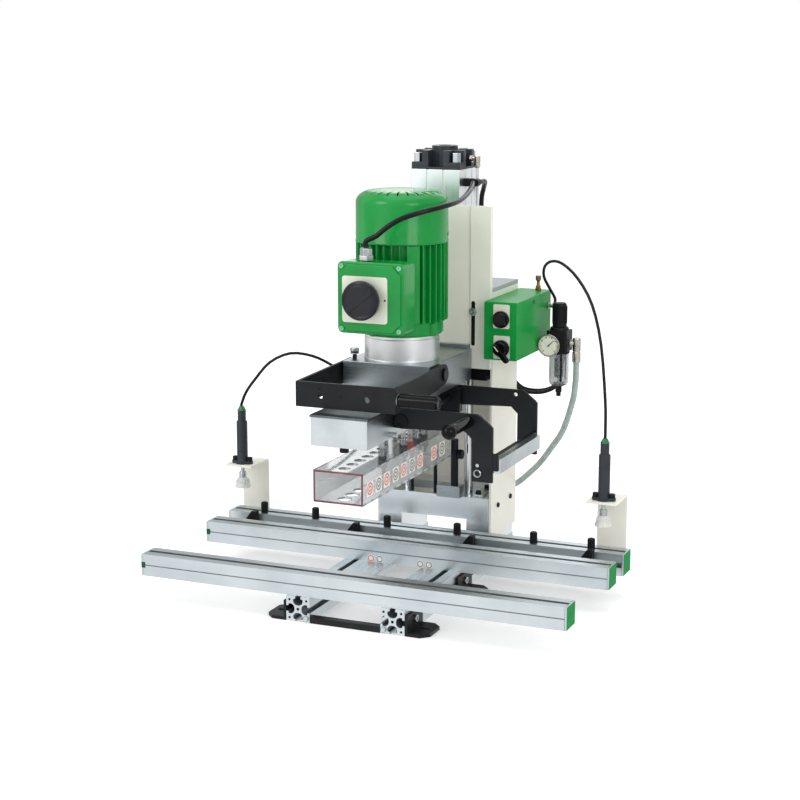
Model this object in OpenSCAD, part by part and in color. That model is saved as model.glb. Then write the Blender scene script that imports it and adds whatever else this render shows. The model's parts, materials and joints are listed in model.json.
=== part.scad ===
// Hinge boring machine for the bench: three rails on a T-slot base, a sheet column with an air
// cylinder, a sliding boring head with motor and seven spindles, and two hold-downs.
// X runs along the rails, Y from the operator to the column, Z up from the bench.

/* [Base] */
// Side of the square base profiles
profile_w = 45; // [44:0.5:48]
// Distance from the middle of the base to the centre line of each base profile
profile_x = 89; // [87:0.5:91]
// How far the base profiles stand out in front of the front rail
base_lip = 5; // [3:1:12]
// Distance from the front rail's face to the first pair of feet
foot_front_y = 30; // [26:1:36]
// Distance between neighbouring pairs of feet
foot_pitch = 237.5; // [236:0.5:238]
// Length of one foot along the profile
foot_len = 70; // [50:1:72]
// How far a foot reaches out from the profile
foot_reach = 41.5; // [34:0.5:48]
// Height of a foot's upright leg
foot_h = 36; // [32:1:42]
// Thickness of the foot plate
foot_t = 6; // [4:0.5:8]
// Width of the slot in a foot
foot_slot_w = 9; // [7:0.5:11]
// Length of the slot in a foot, end to end
foot_slot_len = 22; // [16:1:24]

/* [Rails] */
// Length of each rail with its end caps
rail_len = 800; // [780:5:840]
// Height of a rail
rail_h = 40; // [36:1:44]
// Depth of a rail
rail_d = 45; // [40:1:46]
// Thickness of an end cap
cap_t = 4; // [2:0.5:6]
// Distance from the front rail's face to the middle rail's face
mid_rail_y = 240; // [200:1:244]
// Distance from the front rail's face to the back rail's face
back_rail_y = 330; // [328:1:336]
// Diameter of a stop pin
pin_d = 14; // [10:0.5:18]
// Height of a stop pin
pin_h = 21; // [14:1:26]
// Width of a flip stop
flip_w = 20; // [16:1:22]
// Height of a flip stop above its pivot
flip_h = 27; // [23:1:30]

/* [Column] */
// Width over the column's side walls
column_w = 232; // [230:0.5:240]
// Thickness of the column's sheet
wall_t = 4.5; // [3:0.5:5.5]
// Distance from the front rail's face to the column's front edge
column_y = 402; // [396:1:410]
// Depth of the column
column_d = 138; // [134:1:150]
// Height of the top of the walls over the bench
column_top = 534; // [525:1:545]
// Thickness of the top plate
top_plate_t = 8; // [6:0.5:12]
// Diameter of a guide rod
guide_d = 16; // [12:0.5:20]
// Distance from the middle to each guide rod
guide_x = 62; // [56:1:68]
// Height of the top of the portal's cross plate over the bench
cross_top = 143; // [136:1:148]
// Height of the cross plates
cross_h = 43; // [36:1:50]

/* [Cylinder] */
// Side of the square cylinder
cyl_w = 95; // [88:1:100]
// Height of the cylinder between its caps
cyl_h = 188; // [180:1:200]
// Height of the lower cap
cyl_foot_h = 25; // [20:1:30]
// Diameter of the piston rod
piston_d = 20; // [16:1:25]

/* [Head] */
// Stroke of the head
stroke = 130; // [110:1:130]
// Height of the head block's underside over the bench, with the head up
block_z = 374; // [370:0.5:378]
// Width of the head block
block_w = 166; // [162:1:168]
// Height of the head block
block_h = 57; // [50:1:60]
// Depth of the head block
block_d = 206; // [196:1:212]
// Thickness of the carriage plate
carriage_t = 8; // [6:0.5:10]
// Height of the carriage plate
carriage_h = 300; // [290:1:310]
// Thickness of the slide block behind the head block
slide_t = 12; // [10:0.5:14]
// Distance of the motor's axis behind the head block's front face
motor_dy = 73; // [70:0.5:90]
// Diameter of the adaptor ring
ring_d = 136; // [126:1:144]
// Height of the adaptor ring
ring_h = 46; // [40:1:50]
// Height of the finned motor body
motor_h = 163; // [155:1:170]
// Diameter over the motor's fins
motor_d = 164; // [158:1:168]
// Diameter of the motor's hood
hood_d = 165; // [160:1:172]
// Height of the motor's hood
hood_h = 90; // [80:1:100]
// Width of the switch box
switch_w = 123; // [116:1:126]
// Height of the switch box
switch_h = 124; // [118:1:130]
// Diameter of the switch knob
switch_knob_d = 68; // [60:1:74]

/* [Boring] */
// Distance between neighbouring spindle places
pitch = 32; // [31:0.5:32]
// Width of the gear head
gear_w = 104; // [100:1:105]
// Height of the gear head with its cover
gear_h = 53; // [50:1:56]
// Distance from the gear head's front face to the first spindle place
gear_nose = 22; // [20:0.5:26]
// Distance from the last spindle place to the gear head's back
gear_heel = 20; // [18:0.5:24]
// Diameter of a chuck
chuck_d = 17; // [14:0.5:18]
// Diameter of a boring bit
bit_d = 9; // [5:0.5:12]
// Width of the clear guard
guard_w = 92; // [86:1:94]
// Height of the clear guard
guard_h = 56; // [50:1:58]
// Wall of the clear guard
guard_t = 3.5; // [2:0.5:5]
// Travel of the clear guard
guard_travel = 34; // [20:1:34]

/* [Swing frames] */
// Thickness of the front frame's flat bar
bar_t = 5; // [4:0.5:6]
// Width over the front frame
u_frame_w = 184; // [182:1:188]
// Height of the front frame's bar
u_frame_h = 43.5; // [38:0.5:46]
// Thickness of the side frame's plates
plate_t = 6; // [4:0.5:7]
// Height of the side frame's pivot over the bench
l_pivot_z = 350; // [348:0.5:351]
// Distance of the side frame's pivot from the middle
l_pivot_x = 66; // [66:0.5:68]
// Diameter of the grips
grip_d = 24; // [20:1:26]
// Length of the front frame's grip
u_grip_len = 73; // [60:1:80]
// Length of the side frame's grip
l_grip_len = 101; // [86:1:106]

/* [Controls and air] */
// Width of the control box
box_w = 63; // [60:1:66]
// Length of the control box
box_len = 195; // [190:1:200]
// Height of the control box
box_h = 107; // [100:1:112]
// Diameter of a control knob
control_knob_d = 31; // [26:1:34]
// Diameter of the regulator's knob
regulator_knob_d = 28.5; // [24:0.5:32]
// Diameter of the regulator's bowl
bowl_d = 38; // [34:1:40]
// Diameter of the gauge
gauge_d = 43; // [36:1:44]
// Diameter of the motor cable
cable_d = 9; // [7:0.5:10]
// Diameter of the thin air tubes
tube_d = 5.5; // [4:0.5:6]
// Diameter of the supply hose
hose_d = 11.5; // [9:0.5:12]

/* [Hold-downs] */
// Diameter of a hold-down's body
hold_d = 21; // [18:1:24]
// Height of a hold-down's bracket over the rail
hold_bracket_h = 100; // [96:1:106]
// Width of a hold-down's bracket
hold_bracket_w = 55; // [50:1:58]
// Diameter of a hold-down's pad
pad_d = 31; // [26:1:34]
// Travel of a hold-down's pad
pad_travel = 30; // [15:1:32]

/* [Hidden] */
$fn = 48;

// Running fit on the radius, and the gap between pieces that pass each other
fit = 0.05;
gap = 0.5;
// How far a cut runs past the face it opens
over = 1;

// T-slot in the base profiles and rails
slot_mouth = 10;
slot_lip = 4;
slot_room = 6;
slot_room_w = 18;
core_hole = 8;
corner_hole = 6;
corner_in = 7.5;
groove_w = 2;
groove_d = 1.2;

rail_x = -4;
rail_z = profile_w;
rail_top = rail_z + rail_h;
slot_z = rail_z + rail_h / 2;
base_back = column_y + column_d;
profile_in = profile_x - profile_w / 2;
profile_out = profile_x + profile_w / 2;
foot_ys = [for (i = [0:2]) foot_front_y + i * foot_pitch];
foot_slot_x = profile_out + foot_reach / 2 + 1.5;
crossbar_h = 11;
crossbar_d = 15;
rail_half = rail_len / 2;
pin_xs = [69 - rail_half, -221, -71, 71, 221, rail_half - 69];
pin_y = back_rail_y + 13;
flip_xs = [53 - rail_half, -131, 103, rail_half - 69];
flip_t = 15;
flip_screw_d = 8;
support_y = [165, mid_rail_y + rail_d];
support_t = 12;

// Column, portal and guides
wall_x = column_w / 2;
wall_in = wall_x - wall_t;
column_foot = 64;
top_plate_z = column_top + top_plate_t;
cross_y = column_y - 5;
cross_d = 38;
cross_foot = cross_top - cross_h;
back_foot = cross_foot;
leg_w = profile_w;
leg_d = column_d - 5;
rear_cross_d = 45;
rear_cross_y = base_back - 5 - rear_cross_d;
guide_y = column_y + 23;
stop_x = 46;
stop_y = column_y - 10;
stop_d = 14;
stop_block = [46, 26, 22];
stop_knob_d = 18;
buffer_xs = [-48, 0];
buffer_d = 7;
buffer_h = 82;

// Cylinder on the top plate
cyl_y = column_y + 2 + cyl_w / 2;
cyl_z = top_plate_z;
tube_z = cyl_z + cyl_foot_h;
cap_z = tube_z + cyl_h;
cap_slab = 13;
cap_h = 41.5;
bore_r = cyl_w / 2 - 8;
tie_in = 9.5;
nut_d = 15;
nut_h = 17;
port_z = cap_z + 17;
port_y = cyl_y + 8;
drop_x = cyl_w / 2 + 13.5;
clip_x = cyl_w / 2 + 22.5;
clip_y = cyl_y - 19.5;
clip_z = 731;

// Head, from the carriage forward
carriage_back = column_y - 2;
carriage_y = carriage_back - carriage_t;
carriage_z = block_z + 18;
carriage_half = wall_x - gap;
slide_y = carriage_y - slide_t;
slide_z = block_z + 11;
slide_h = 52;
slide_half = block_w / 2 - 7;
travel_slot_x = 82;
travel_slot_z = carriage_z + 42;
travel_slot_h = 84;
travel_slot_w = 8;
travel_bolt_z = carriage_z + 106;
strip_in = slide_half + gap;
strip_t = 4;
block_y = slide_y - block_d;
block_top = block_z + block_h;
carrier_z = block_z - 6;
carrier_h = 102;
carrier_d = 75;
carrier_half = wall_in - 6.5;
motor_y = block_y + motor_dy;
ring_top = block_top + ring_h;
motor_top = ring_top + motor_h;
hood_top = motor_top + hood_h;
hood_t = 3;
dome_w = 30;
dome_h = 21;
fin_count = 36;
fin_w = 3;
boss_w = 25;
boss_turn = -53;
core_r = motor_d / 2 - 10;
flange_h = 24;
shield_h = 12;
shaft_r = 9.5;
fan_r = hood_d / 2 - 20;
fan_h = 16;

// Switch box in front of the motor
switch_x = 5.5;
knob_x = -3;
knob_disc_t = 10;
knob_neck_r = 24;
switch_z = ring_top + 18;
switch_y = motor_y - 155;
switch_d = 58;
plate_t2 = 2;
neck_in = 16;
knob_z = switch_z + 61;
knob_y = switch_y - 26;
gland_x = -13;
gland_y = switch_y + 28;
gland_z = switch_z + switch_h;
gland_h = 23;
gland_d = 27;

// Gear head, spindles and guard
spindle_n = 12;
gear_len = gear_nose + (spindle_n - 1) * pitch + gear_heel;
gear_back = slide_y - 10;
gear_y = gear_back - gear_len;
gear_z = block_z - gear_h;
gear_half = gear_w / 2;
gear_wall = 6;
gear_floor = 8;
cover_t = 4;
cover_lip = 1.5;
spindle_y0 = gear_y + gear_nose;
fitted = [0, 1, 5, 8, 9, 10, 11];
bare_spindles = 2;
bare_drop = 12;
nose_r = 8;
nose_drop = 8;
chuck_h = 19;
chuck_z = gear_z - nose_drop - chuck_h;
gear_r = 14;
shank_h = 34;
pinion_z = gear_z + 31;
guard_z = gear_z - guard_travel - 6 - guard_h;
tip_z = guard_z + 5;
guard_y = gear_y - 4;
guard_len = gear_len + 2;
guard_half = guard_w / 2;
top_hole_d = 21;
low_hole_d = 25;
guard_pin_d = 8;
guard_pin_x = guard_half - 8;
guard_pin_ys = [for (k = [3.35, 10.53]) spindle_y0 + k * pitch];
guard_pin_top = gear_z + gear_floor + 2;

// Front frame round the head block
u_out = u_frame_w / 2;
u_in = u_out - bar_t;
u_front = 2;
u_z = block_z + 6.5;
u_top = u_z + u_frame_h;
u_pivot = [block_y + 48, block_z + 36];
u_end_r = 18.5;
u_pin_r = 6;
u_holes = [[-46, 4.5], [39.5, 5.5]];
u_hole_z = u_z + 20;

// Side frame with its shaft
l_front = 88;
l_rear = 318;
l_end_r = 13;
l_shaft_r = 6;
l_bar_top = block_z - 1;
l_bar_low = l_pivot_z - 8.5;
l_out = 232;
l_in = 195;
l_foot = 257;
l_grip_x = 189;
l_grip_z = 360;
l_cross_t = 14;
l_cross_z = [274, 299];
l_cross_back = l_rear - 21;
lug_y = l_front + plate_t + gap;
lug_t = 14;
bearing_t = 16;
bearing_y = l_rear - gap - bearing_t;
bracket_out = 90;

// Control box on the right wall
box_x = wall_x;
box_y = column_y - 48;
box_z = 417;
box_back = box_y + box_len;
upper_knob = [box_x + 34, box_z + 76];
lower_knob = [box_x + 35, box_z + 23];
label_t = 1.5;
label_half = 16;
knob_h = 14;
knob_shaft_r = 4;

// Filter regulator beside the box
reg_x = box_x + box_w + 34;
reg_y = column_y + 98;
reg_z = 412;
reg_half = 20;
reg_h = 50;
reg_cap_h = 45;
bowl_h = 60;
drain_h = 22;
gauge_x = reg_x - 11;
gauge_z = reg_z + 18;
gauge_t = 12;
outlet_x = reg_x + reg_half + 14;
outlet_z = reg_z + 20;
outlet_foot = outlet_z - 36;
needle_len = 16;

// Hold-downs on the back rail
hold_xs = [-366, 359];
hold_y = back_rail_y - 9;
hold_sheet = 4.5;
hold_flange_z = rail_top + hold_bracket_h;
hold_flange_t = 6;
hold_body_h = 78;
hold_neck_h = 20;
hold_cap_h = 9;
hold_neck_d = 16;
hold_lug_x = 15;
rod_r = 4;
rod_in = pad_travel + 40;
pad_z = hold_flange_z - 47;
pad_h = 31;

// Routes of the cable, tubes and hoses, by hand
gland_end = [gland_x, gland_y, gland_z + gland_h];
hold_end = hold_flange_z + hold_flange_t + hold_body_h + hold_neck_h + hold_cap_h;
cable_route = [gland_end, gland_end + [0, 0, 10], [4, 124, 661], [22, 128, 676], [48, 137, 692],
    [80, 154, 703], [104, 190, 710], [108, 245, 714], [93, 330, 721], [77, 392, 729],
    [clip_x, clip_y - 20, clip_z], [clip_x, clip_y - 8, clip_z]];
tail_route = [[clip_x, clip_y + 8, clip_z], [clip_x, 458, clip_z], [68, 482, 729], [56, 508, 714],
    [50, 513, 690], [50, 513, 620], [50, 513, top_plate_z]];
right_tube_z = 496;
right_tube_route = [[193, 530, right_tube_z + 6], [193, 530, 511], [187, 514, 532], [184, 490, 556],
    [194, 465, 579], [216, 440, 592], [245, 415, 591], [283, 385, 570], [318, 360, 528],
    [342, 340, 461], [356, 326, 366], [hold_xs[1], hold_y, 320], [hold_xs[1], hold_y, hold_end]];
left_tube_z = 322;
left_tube_route = [[hold_xs[0], hold_y, hold_end], [hold_xs[0], hold_y, 302], [-356, 322, 326],
    [-336, 325, 354], [-308, 330, 386], [-270, 340, 404], [-230, 352, 400], [-199, 366, 384],
    [-174, 380, 364], [-154, 406, 340], [-140, 424, left_tube_z], [-wall_x - 12, 424, left_tube_z]];
hose_route = [[outlet_x, reg_y, outlet_foot], [outlet_x, reg_y, 372], [245, 502, 352],
    [240, 505, 322], [219, 515, 262], [192, 526, 222], [166, 540, 188], [140, 552, 162],
    [118, 558, 142], [94, 560, 128], [70, 560, 128]];
bundle_route = [[reg_x - 8, reg_y + reg_half, 424], [reg_x - 8, 531, 424], [208, 541, 384],
    [196, 546, 344], [176, 552, 328], [149, 556, 321], [120, 556, 324], [100, 556, 340],
    [90, 556, 352], [80, 556, 352]];
bundle_ports = [14, 0, 0];
bundle_step = [0, 8, 3];

function unit(v) = v / norm(v);
function heading(q, i) = unit(q[min(i + 1, len(q) - 1)] - q[max(i - 1, 0)]);
function ring_at(c, t, side, r, n) =
    let (u = unit(cross(side, t)), v = cross(t, u))
    [for (k = [0:n - 1]) c + r * (cos(360 * k / n) * u + sin(360 * k / n) * v)];

// A tube of n sides swept along the points of a route
module tube(route, d, side, n = 8) {
    last = len(route) - 1;
    points = [for (i = [0:last]) each ring_at(route[i], heading(route, i), side, d / 2, n)];
    walls = [for (i = [0:last - 1], k = [0:n - 1])
        let (a = i * n + k, b = i * n + (k + 1) % n) each [[a, a + n, b], [b, a + n, b + n]]];
    ends = [for (k = [1:n - 2]) each [[0, k, k + 1], [last * n, last * n + k + 1, last * n + k]]];
    polyhedron(points = points, faces = concat(walls, ends));
}

// A box between two values on each axis
module slab(x, y, z) {
    translate([x[0], y[0], z[0]]) cube([x[1] - x[0], y[1] - y[0], z[1] - z[0]]);
}

// Rods along Z at [x, y], along Y at [x, z] and along X at [y, z]
module rod_z(at, z, r) {
    translate([at[0], at[1], z[0]]) cylinder(h = z[1] - z[0], r = r);
}
module rod_y(at, y, r) {
    translate([at[0], y[0], at[1]]) rotate([-90, 0, 0]) cylinder(h = y[1] - y[0], r = r);
}
module rod_x(at, x, r) {
    translate([x[0], at[0], at[1]]) rotate([0, 90, 0]) cylinder(h = x[1] - x[0], r = r);
}

// An outline drawn as (Y, Z) and pulled along X, or as (X, Z) and pulled along Y
module along_x(x) {
    translate([x[0], 0, 0]) rotate([90, 0, 90]) linear_extrude(x[1] - x[0]) children();
}
module along_y(y) {
    translate([0, y[1], 0]) rotate([90, 0, 0]) linear_extrude(y[1] - y[0]) children();
}

// Both sides of the machine
module both_sides() {
    children();
    mirror([1, 0, 0]) children();
}

// The whole machine's origin is on the bench in the middle of its six feet
module at_origin() {
    translate([0, -foot_ys[1], 0]) children();
}

// Section of a T-slot profile of width w and height h, centred; plain sides have no slot
module profile_2d(w, h, plain = []) {
    difference() {
        square([w, h], center = true);
        for (side = [0:3]) if (len(search(side, plain)) == 0) {
            reach = side % 2 == 0 ? w / 2 : h / 2;
            rotate(90 * side) {
                translate([reach - slot_lip - slot_room, -slot_room_w / 2]) square([slot_room, slot_room_w]);
                translate([reach - slot_lip - over, -slot_mouth / 2])
                    square([slot_lip + 2 * over, slot_mouth]);
            }
        }
        circle(d = core_hole);
        for (x = [-1, 1], y = [-1, 1])
            translate([x * (w / 2 - corner_in), y * (h / 2 - corner_in)]) circle(d = corner_hole);
    }
}

module base_profiles() color("silver") {
    both_sides() translate([profile_x, 0, profile_w / 2]) along_y([-base_lip, base_back])
        profile_2d(profile_w, profile_w);
}

module foot_slot(x, y) {
    run = foot_slot_len - foot_slot_w;
    for (side = [-1, 1]) rod_z([x + side * run / 2, y], [-over, foot_t + over], foot_slot_w / 2);
    slab([x - run / 2, x + run / 2], [y - foot_slot_w / 2, y + foot_slot_w / 2], [-over, foot_t + over]);
}

module foot(y) {
    half = foot_len / 2;
    corner = foot_reach / 3;
    leg_t = foot_t - 1;
    difference() {
        union() {
            translate([profile_out, y, 0]) linear_extrude(foot_t) polygon([[0, -half],
                [foot_reach - corner, -half], [foot_reach, -half + corner], [foot_reach, half - corner],
                [foot_reach - corner, half], [0, half]]);
            slab([profile_out, profile_out + leg_t], [y - half, y + half], [0, foot_h]);
        }
        foot_slot(foot_slot_x, y);
        rod_x([y, profile_w / 2], [profile_out - over, profile_out + foot_t + over], 4.2);
    }
}

module base_brackets() color("#202124") {
    for (y = foot_ys) both_sides() foot(y);
    slab([-profile_in, profile_in], [-base_lip, crossbar_d - base_lip], [0, crossbar_h]);
}

module rail_supports() color("gainsboro") {
    slab([-profile_in, -20], support_y, [profile_w - support_t, profile_w]);
    slab([41, profile_in], support_y, [profile_w - support_t, profile_w]);
}

// A rail with its front face closed and marked by a groove, or with slots all round
module rail(y, closed) {
    half = rail_half - cap_t;
    along_x([rail_x - half, rail_x + half]) translate([y + rail_d / 2, slot_z]) difference() {
        profile_2d(rail_d, rail_h, closed ? [2] : []);
        if (closed) translate([-rail_d / 2 - over, -groove_w / 2]) square([groove_d + over, groove_w]);
    }
}

module front_rail() color("silver") rail(0, true);
module middle_rail() color("silver") rail(mid_rail_y, true);
module back_rail() color("silver") rail(back_rail_y, false);

module rail_end_caps() color("#159a46") {
    for (y = [0, mid_rail_y, back_rail_y], side = [-1, 1]) {
        x = rail_x + side * (rail_len - cap_t) / 2;
        slab([x - cap_t / 2, x + cap_t / 2], [y, y + rail_d], [rail_z, rail_top]);
    }
}

module stop_pins() color("#26272a") {
    for (x = pin_xs) {
        rod_z([x, pin_y], [rail_top, rail_top + pin_h - 1.5], pin_d / 2);
        translate([x, pin_y, rail_top + pin_h - 1.5]) cylinder(h = 1.5, r1 = pin_d / 2, r2 = pin_d / 2 - 1.5);
    }
}

// A finger that swings sideways on a shoulder screw in the back rail's front slot
module flip_stop(i) color("#26272a") {
    translate([flip_xs[i], 0, slot_z]) along_y([back_rail_y - gap - flip_t, back_rail_y - gap])
        difference() {
            union() {
                circle(d = flip_w);
                polygon([[-flip_w / 2, 0], [flip_w / 2, 0], [flip_w / 2, flip_h], [1, flip_h],
                    [-flip_w / 2, flip_h * 0.45]]);
            }
            circle(r = flip_screw_d / 2 + fit);
        }
}

module portal() color("#c9cdd0") {
    slab([-wall_in, wall_in], [cross_y, cross_y + cross_d], [cross_foot, cross_top]);
    slab([-wall_in, wall_in], [rear_cross_y, rear_cross_y + rear_cross_d], [cross_foot, cross_top]);
    both_sides() translate([profile_x, column_y + leg_d / 2, profile_w])
        linear_extrude(cross_foot - profile_w) profile_2d(leg_w, leg_d, [0, 1, 2, 3]);
}

module column_shell() color("#eceadf") {
    difference() {
        slab([-wall_x, wall_x], [column_y, base_back], [column_foot, column_top]);
        slab([-wall_in, wall_in], [column_y - over, base_back - wall_t], [0, column_top + over]);
        slab([-wall_in, wall_in], [base_back - wall_t - over, base_back + over], [0, back_foot]);
    }
}

module column_top_plate() color("#9a9da0") {
    difference() {
        slab([-wall_x, wall_x], [column_y, base_back], [column_top, top_plate_z]);
        rod_z([0, cyl_y], [column_top - over, top_plate_z + over], piston_d / 2 + gap);
    }
}

module guide_rods() color("#dfe2e4") {
    both_sides() rod_z([guide_x, guide_y], [cross_top, column_top], guide_d / 2);
}

// Stop post on its block, its clamp knob, and two buffer rods
module depth_stop() color("#1d1e20") {
    post_top = slide_z - stroke - 1;
    block_top_z = cross_top + stop_block[2];
    slab([stop_x + 14 - stop_block[0], stop_x + 14], [stop_y - 10, stop_y - 10 + stop_block[1]],
        [cross_top, block_top_z]);
    rod_z([stop_x, stop_y], [block_top_z, post_top], stop_d / 2);
    rod_x([stop_y, post_top - 28], [stop_x, stop_x + 15], 3);
    rod_x([stop_y, post_top - 28], [stop_x + stop_d / 2 + 1, stop_x + stop_d / 2 + 9], stop_knob_d / 2);
    for (x = buffer_xs) rod_z([x, column_y + 8], [cross_top, cross_top + buffer_h], buffer_d / 2);
}

module cylinder_tube() color("#d5d8da") {
    half = cyl_w / 2;
    difference() {
        slab([-half, half], [cyl_y - half, cyl_y + half], [tube_z, cap_z]);
        rod_z([0, cyl_y], [tube_z - over, cap_z + over], bore_r);
        for (side = [0:3], off = [-1, 1]) translate([0, cyl_y, tube_z - over]) rotate(90 * side)
            translate([half - 1.5, off * 16 - 2, 0]) cube([3, 4, cyl_h + 2 * over]);
    }
}

module cylinder_caps() color("#222427") {
    half = cyl_w / 2;
    difference() {
        slab([-half, half], [cyl_y - half, cyl_y + half], [cyl_z, tube_z]);
        rod_z([0, cyl_y], [cyl_z - over, tube_z + over], piston_d / 2 + gap);
    }
    difference() {
        union() {
            slab([-half, half], [cyl_y - half, cyl_y + half], [cap_z, cap_z + cap_slab]);
            slab([-half, half], [cyl_y - 17, cyl_y + 17], [cap_z + cap_slab, cap_z + cap_h - 7]);
            slab([-17, 17], [cyl_y - half, cyl_y + half], [cap_z + cap_slab, cap_z + cap_h - 7]);
            rod_z([0, cyl_y], [cap_z + cap_slab, cap_z + cap_h], 24);
        }
        rod_z([0, cyl_y], [cap_z + cap_h - 12, cap_z + cap_h + over], 12);
    }
}

// Screws, nuts, elbows and couplings that stay with the frame
module frame_fittings() color("#c4c6c8") {
    foot_screws();
    flip_screws();
    cylinder_fittings();
    wall_screws();
    air_couplings();
}

module foot_screws() {
    head_x = profile_out + foot_t - 1;
    for (y = foot_ys) both_sides() {
        rod_x([y, profile_w / 2], [head_x, head_x + 4], 6.5);
        rod_x([y, profile_w / 2], [profile_out - 3, head_x], 4);
    }
    both_sides() rod_y([profile_x - profile_w / 2 + corner_in, corner_in], [-base_lip - 4, -base_lip], 4.5);
}

module flip_screws() {
    head_y = back_rail_y - flip_t - 2 * gap;
    for (x = flip_xs) {
        rod_y([x, slot_z], [head_y - 4, head_y], 6.5);
        rod_y([x, slot_z], [head_y, back_rail_y + slot_lip], flip_screw_d / 2);
        slab([x - 7, x + 7], [back_rail_y + slot_lip, back_rail_y + slot_lip + 4], [slot_z - 7, slot_z + 7]);
    }
}

// Corner nuts, the air elbow with its drop fitting, and the cable clip on the cylinder's side
module cylinder_fittings() {
    half = cyl_w / 2;
    for (x = [-1, 1], y = [-1, 1])
        translate([x * (half - tie_in), cyl_y + y * (half - tie_in), cap_z + cap_slab])
            cylinder(h = nut_h, d = nut_d, $fn = 6);
    rod_x([port_y, port_z], [half, drop_x], 5);
    rod_z([drop_x, port_y], [port_z - 16, port_z + 6], 6);
    rod_z([drop_x, port_y], [top_plate_z, top_plate_z + 14], 6);
    difference() {
        slab([half, clip_x + 7], [clip_y - 8, clip_y + 8], [clip_z - 7, clip_z + 7]);
        rod_y([clip_x, clip_z], [clip_y - 8 - over, clip_y + 8 + over], cable_d / 2);
    }
    rod_y([clip_x, clip_z], [clip_y - 8, clip_y + 8], cable_d / 2);
}

module wall_screws() {
    for (at = [[column_y + 36, 123], [column_y + 105, 124]])
        both_sides() rod_x(at, [wall_x, wall_x + 3], 4);
}

module air_couplings() {
    box_right = box_x + box_w;
    rod_x([reg_y + 30, right_tube_z], [box_right, 193], 4);
    rod_z([193, reg_y + 30], [right_tube_z - 5, right_tube_z + 6], 5);
    rod_x([424, left_tube_z], [-wall_x - 12, -wall_x], 5);
    rod_z([box_x + 44, reg_y + 29], [box_z + box_h, box_z + box_h + 8], 5);
    rod_z([box_x + 44, reg_y + 29], [box_z + box_h + 8, box_z + box_h + 19], 3.2);
    rod_z([box_x + 44, reg_y + 29], [box_z + box_h + 19, box_z + box_h + 27], 4.5);
    rod_x([reg_y, outlet_z], [reg_x + reg_half, outlet_x], 6.5);
    rod_z([outlet_x, reg_y], [outlet_foot, outlet_z + 11], 8);
    rod_x([560, 128], [54, 70], 8);
    rod_y([62, 128], [base_back, 560], 7);
    for (i = [0, 1]) {
        rod_x([556 + i * bundle_step[1], 352 + i * bundle_step[2]], [66, 80], 5);
        rod_y([73, 352 + i * bundle_step[2]], [base_back, 556 + i * bundle_step[1]], 4);
    }
}

module piston_rod() color("#dfe2e4") {
    piston_top = cap_z - 5;
    rod_z([0, cyl_y], [carrier_z + carrier_h, piston_top - 20], piston_d / 2);
    rod_z([0, cyl_y], [piston_top - 20, piston_top], bore_r - gap);
}

// Plate behind the head block, with a raised strip down each side
module carriage_plate() color("#eceadf") {
    slot_r = travel_slot_w / 2;
    strip_y = carriage_y - strip_t;
    difference() {
        union() {
            slab([-carriage_half, carriage_half], [carriage_y, carriage_back],
                [carriage_z, carriage_z + carriage_h]);
            both_sides() slab([strip_in, carriage_half], [carriage_y - strip_t, carriage_y],
                [carriage_z, carriage_z + carriage_h]);
        }
        for (z = [slot_r, travel_slot_h - slot_r])
            rod_y([travel_slot_x, travel_slot_z + z], [strip_y - over, carriage_back + over], slot_r);
        slab([travel_slot_x - slot_r, travel_slot_x + slot_r], [strip_y - over, carriage_back + over],
            [travel_slot_z + slot_r, travel_slot_z + travel_slot_h - slot_r]);
    }
}

// Bushing block behind the carriage plate, on the two guide rods
module carriage_block() color("#222326") {
    difference() {
        slab([-carrier_half, carrier_half], [carriage_back, carriage_back + carrier_d],
            [carrier_z, carrier_z + carrier_h]);
        both_sides() rod_z([guide_x, guide_y], [carrier_z - over, carrier_z + carrier_h + over],
            guide_d / 2 + fit);
    }
}

// Slide block, with the bolt and clamp plate of the travel slot
module slide_block() color("#c6c9cc") {
    slab([-slide_half, slide_half], [slide_y, carriage_y], [slide_z, slide_z + slide_h]);
    rod_y([travel_slot_x, travel_bolt_z], [carriage_y - strip_t - 5, carriage_y - strip_t],
        travel_slot_w * 0.8);
    rod_y([travel_slot_x, travel_bolt_z], [carriage_y - strip_t, carriage_back], travel_slot_w / 2 - 0.5);
    slab([travel_slot_x - 8, travel_slot_x + 8], [carriage_back, carriage_back + 6],
        [travel_bolt_z - 8, travel_bolt_z + 8]);
}

module head_block() color("#b9bdc0") {
    difference() {
        slab([-block_w / 2, block_w / 2], [block_y, slide_y], [block_z, block_top]);
        rod_z([0, motor_y], [block_z - over, block_top + over], 14);
    }
}

// Pivot pins of the front frame, the side frame's lug and bearing, and the index plunger
module head_brackets() color("#232427") {
    half = block_w / 2;
    both_sides() {
        rod_x(u_pivot, [half, u_out + 0.4], u_pin_r);
        rod_x(u_pivot, [u_out + 0.4, u_out + 4], u_pin_r + 5);
        rod_x(u_pivot, [half, u_in - 0.4], u_pin_r + 4);
    }
    difference() {
        union() {
            slab([gear_half, l_pivot_x], [lug_y, lug_y + lug_t], [l_pivot_z - 14, l_pivot_z + 14]);
            rod_y([l_pivot_x, l_pivot_z], [lug_y, lug_y + lug_t], 14);
        }
        rod_y([l_pivot_x, l_pivot_z], [lug_y - over, lug_y + lug_t + over], l_shaft_r + fit);
    }
    difference() {
        union() {
            slab([gear_half, bracket_out], [bearing_y, bearing_y + bearing_t],
                [l_pivot_z - 24, block_z - cover_t]);
            slab([gear_half + cover_lip, half], [bearing_y, bearing_y + bearing_t],
                [block_z - cover_t, block_z]);
        }
        rod_y([l_pivot_x, l_pivot_z], [bearing_y - over, bearing_y + bearing_t + over], l_shaft_r + fit);
    }
    rod_z([-half + 9, block_y + 31], [block_top, block_top + 8], 4);
    rod_z([-half + 9, block_y + 31], [block_top + 8, block_top + 18], 7.5);
}

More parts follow.
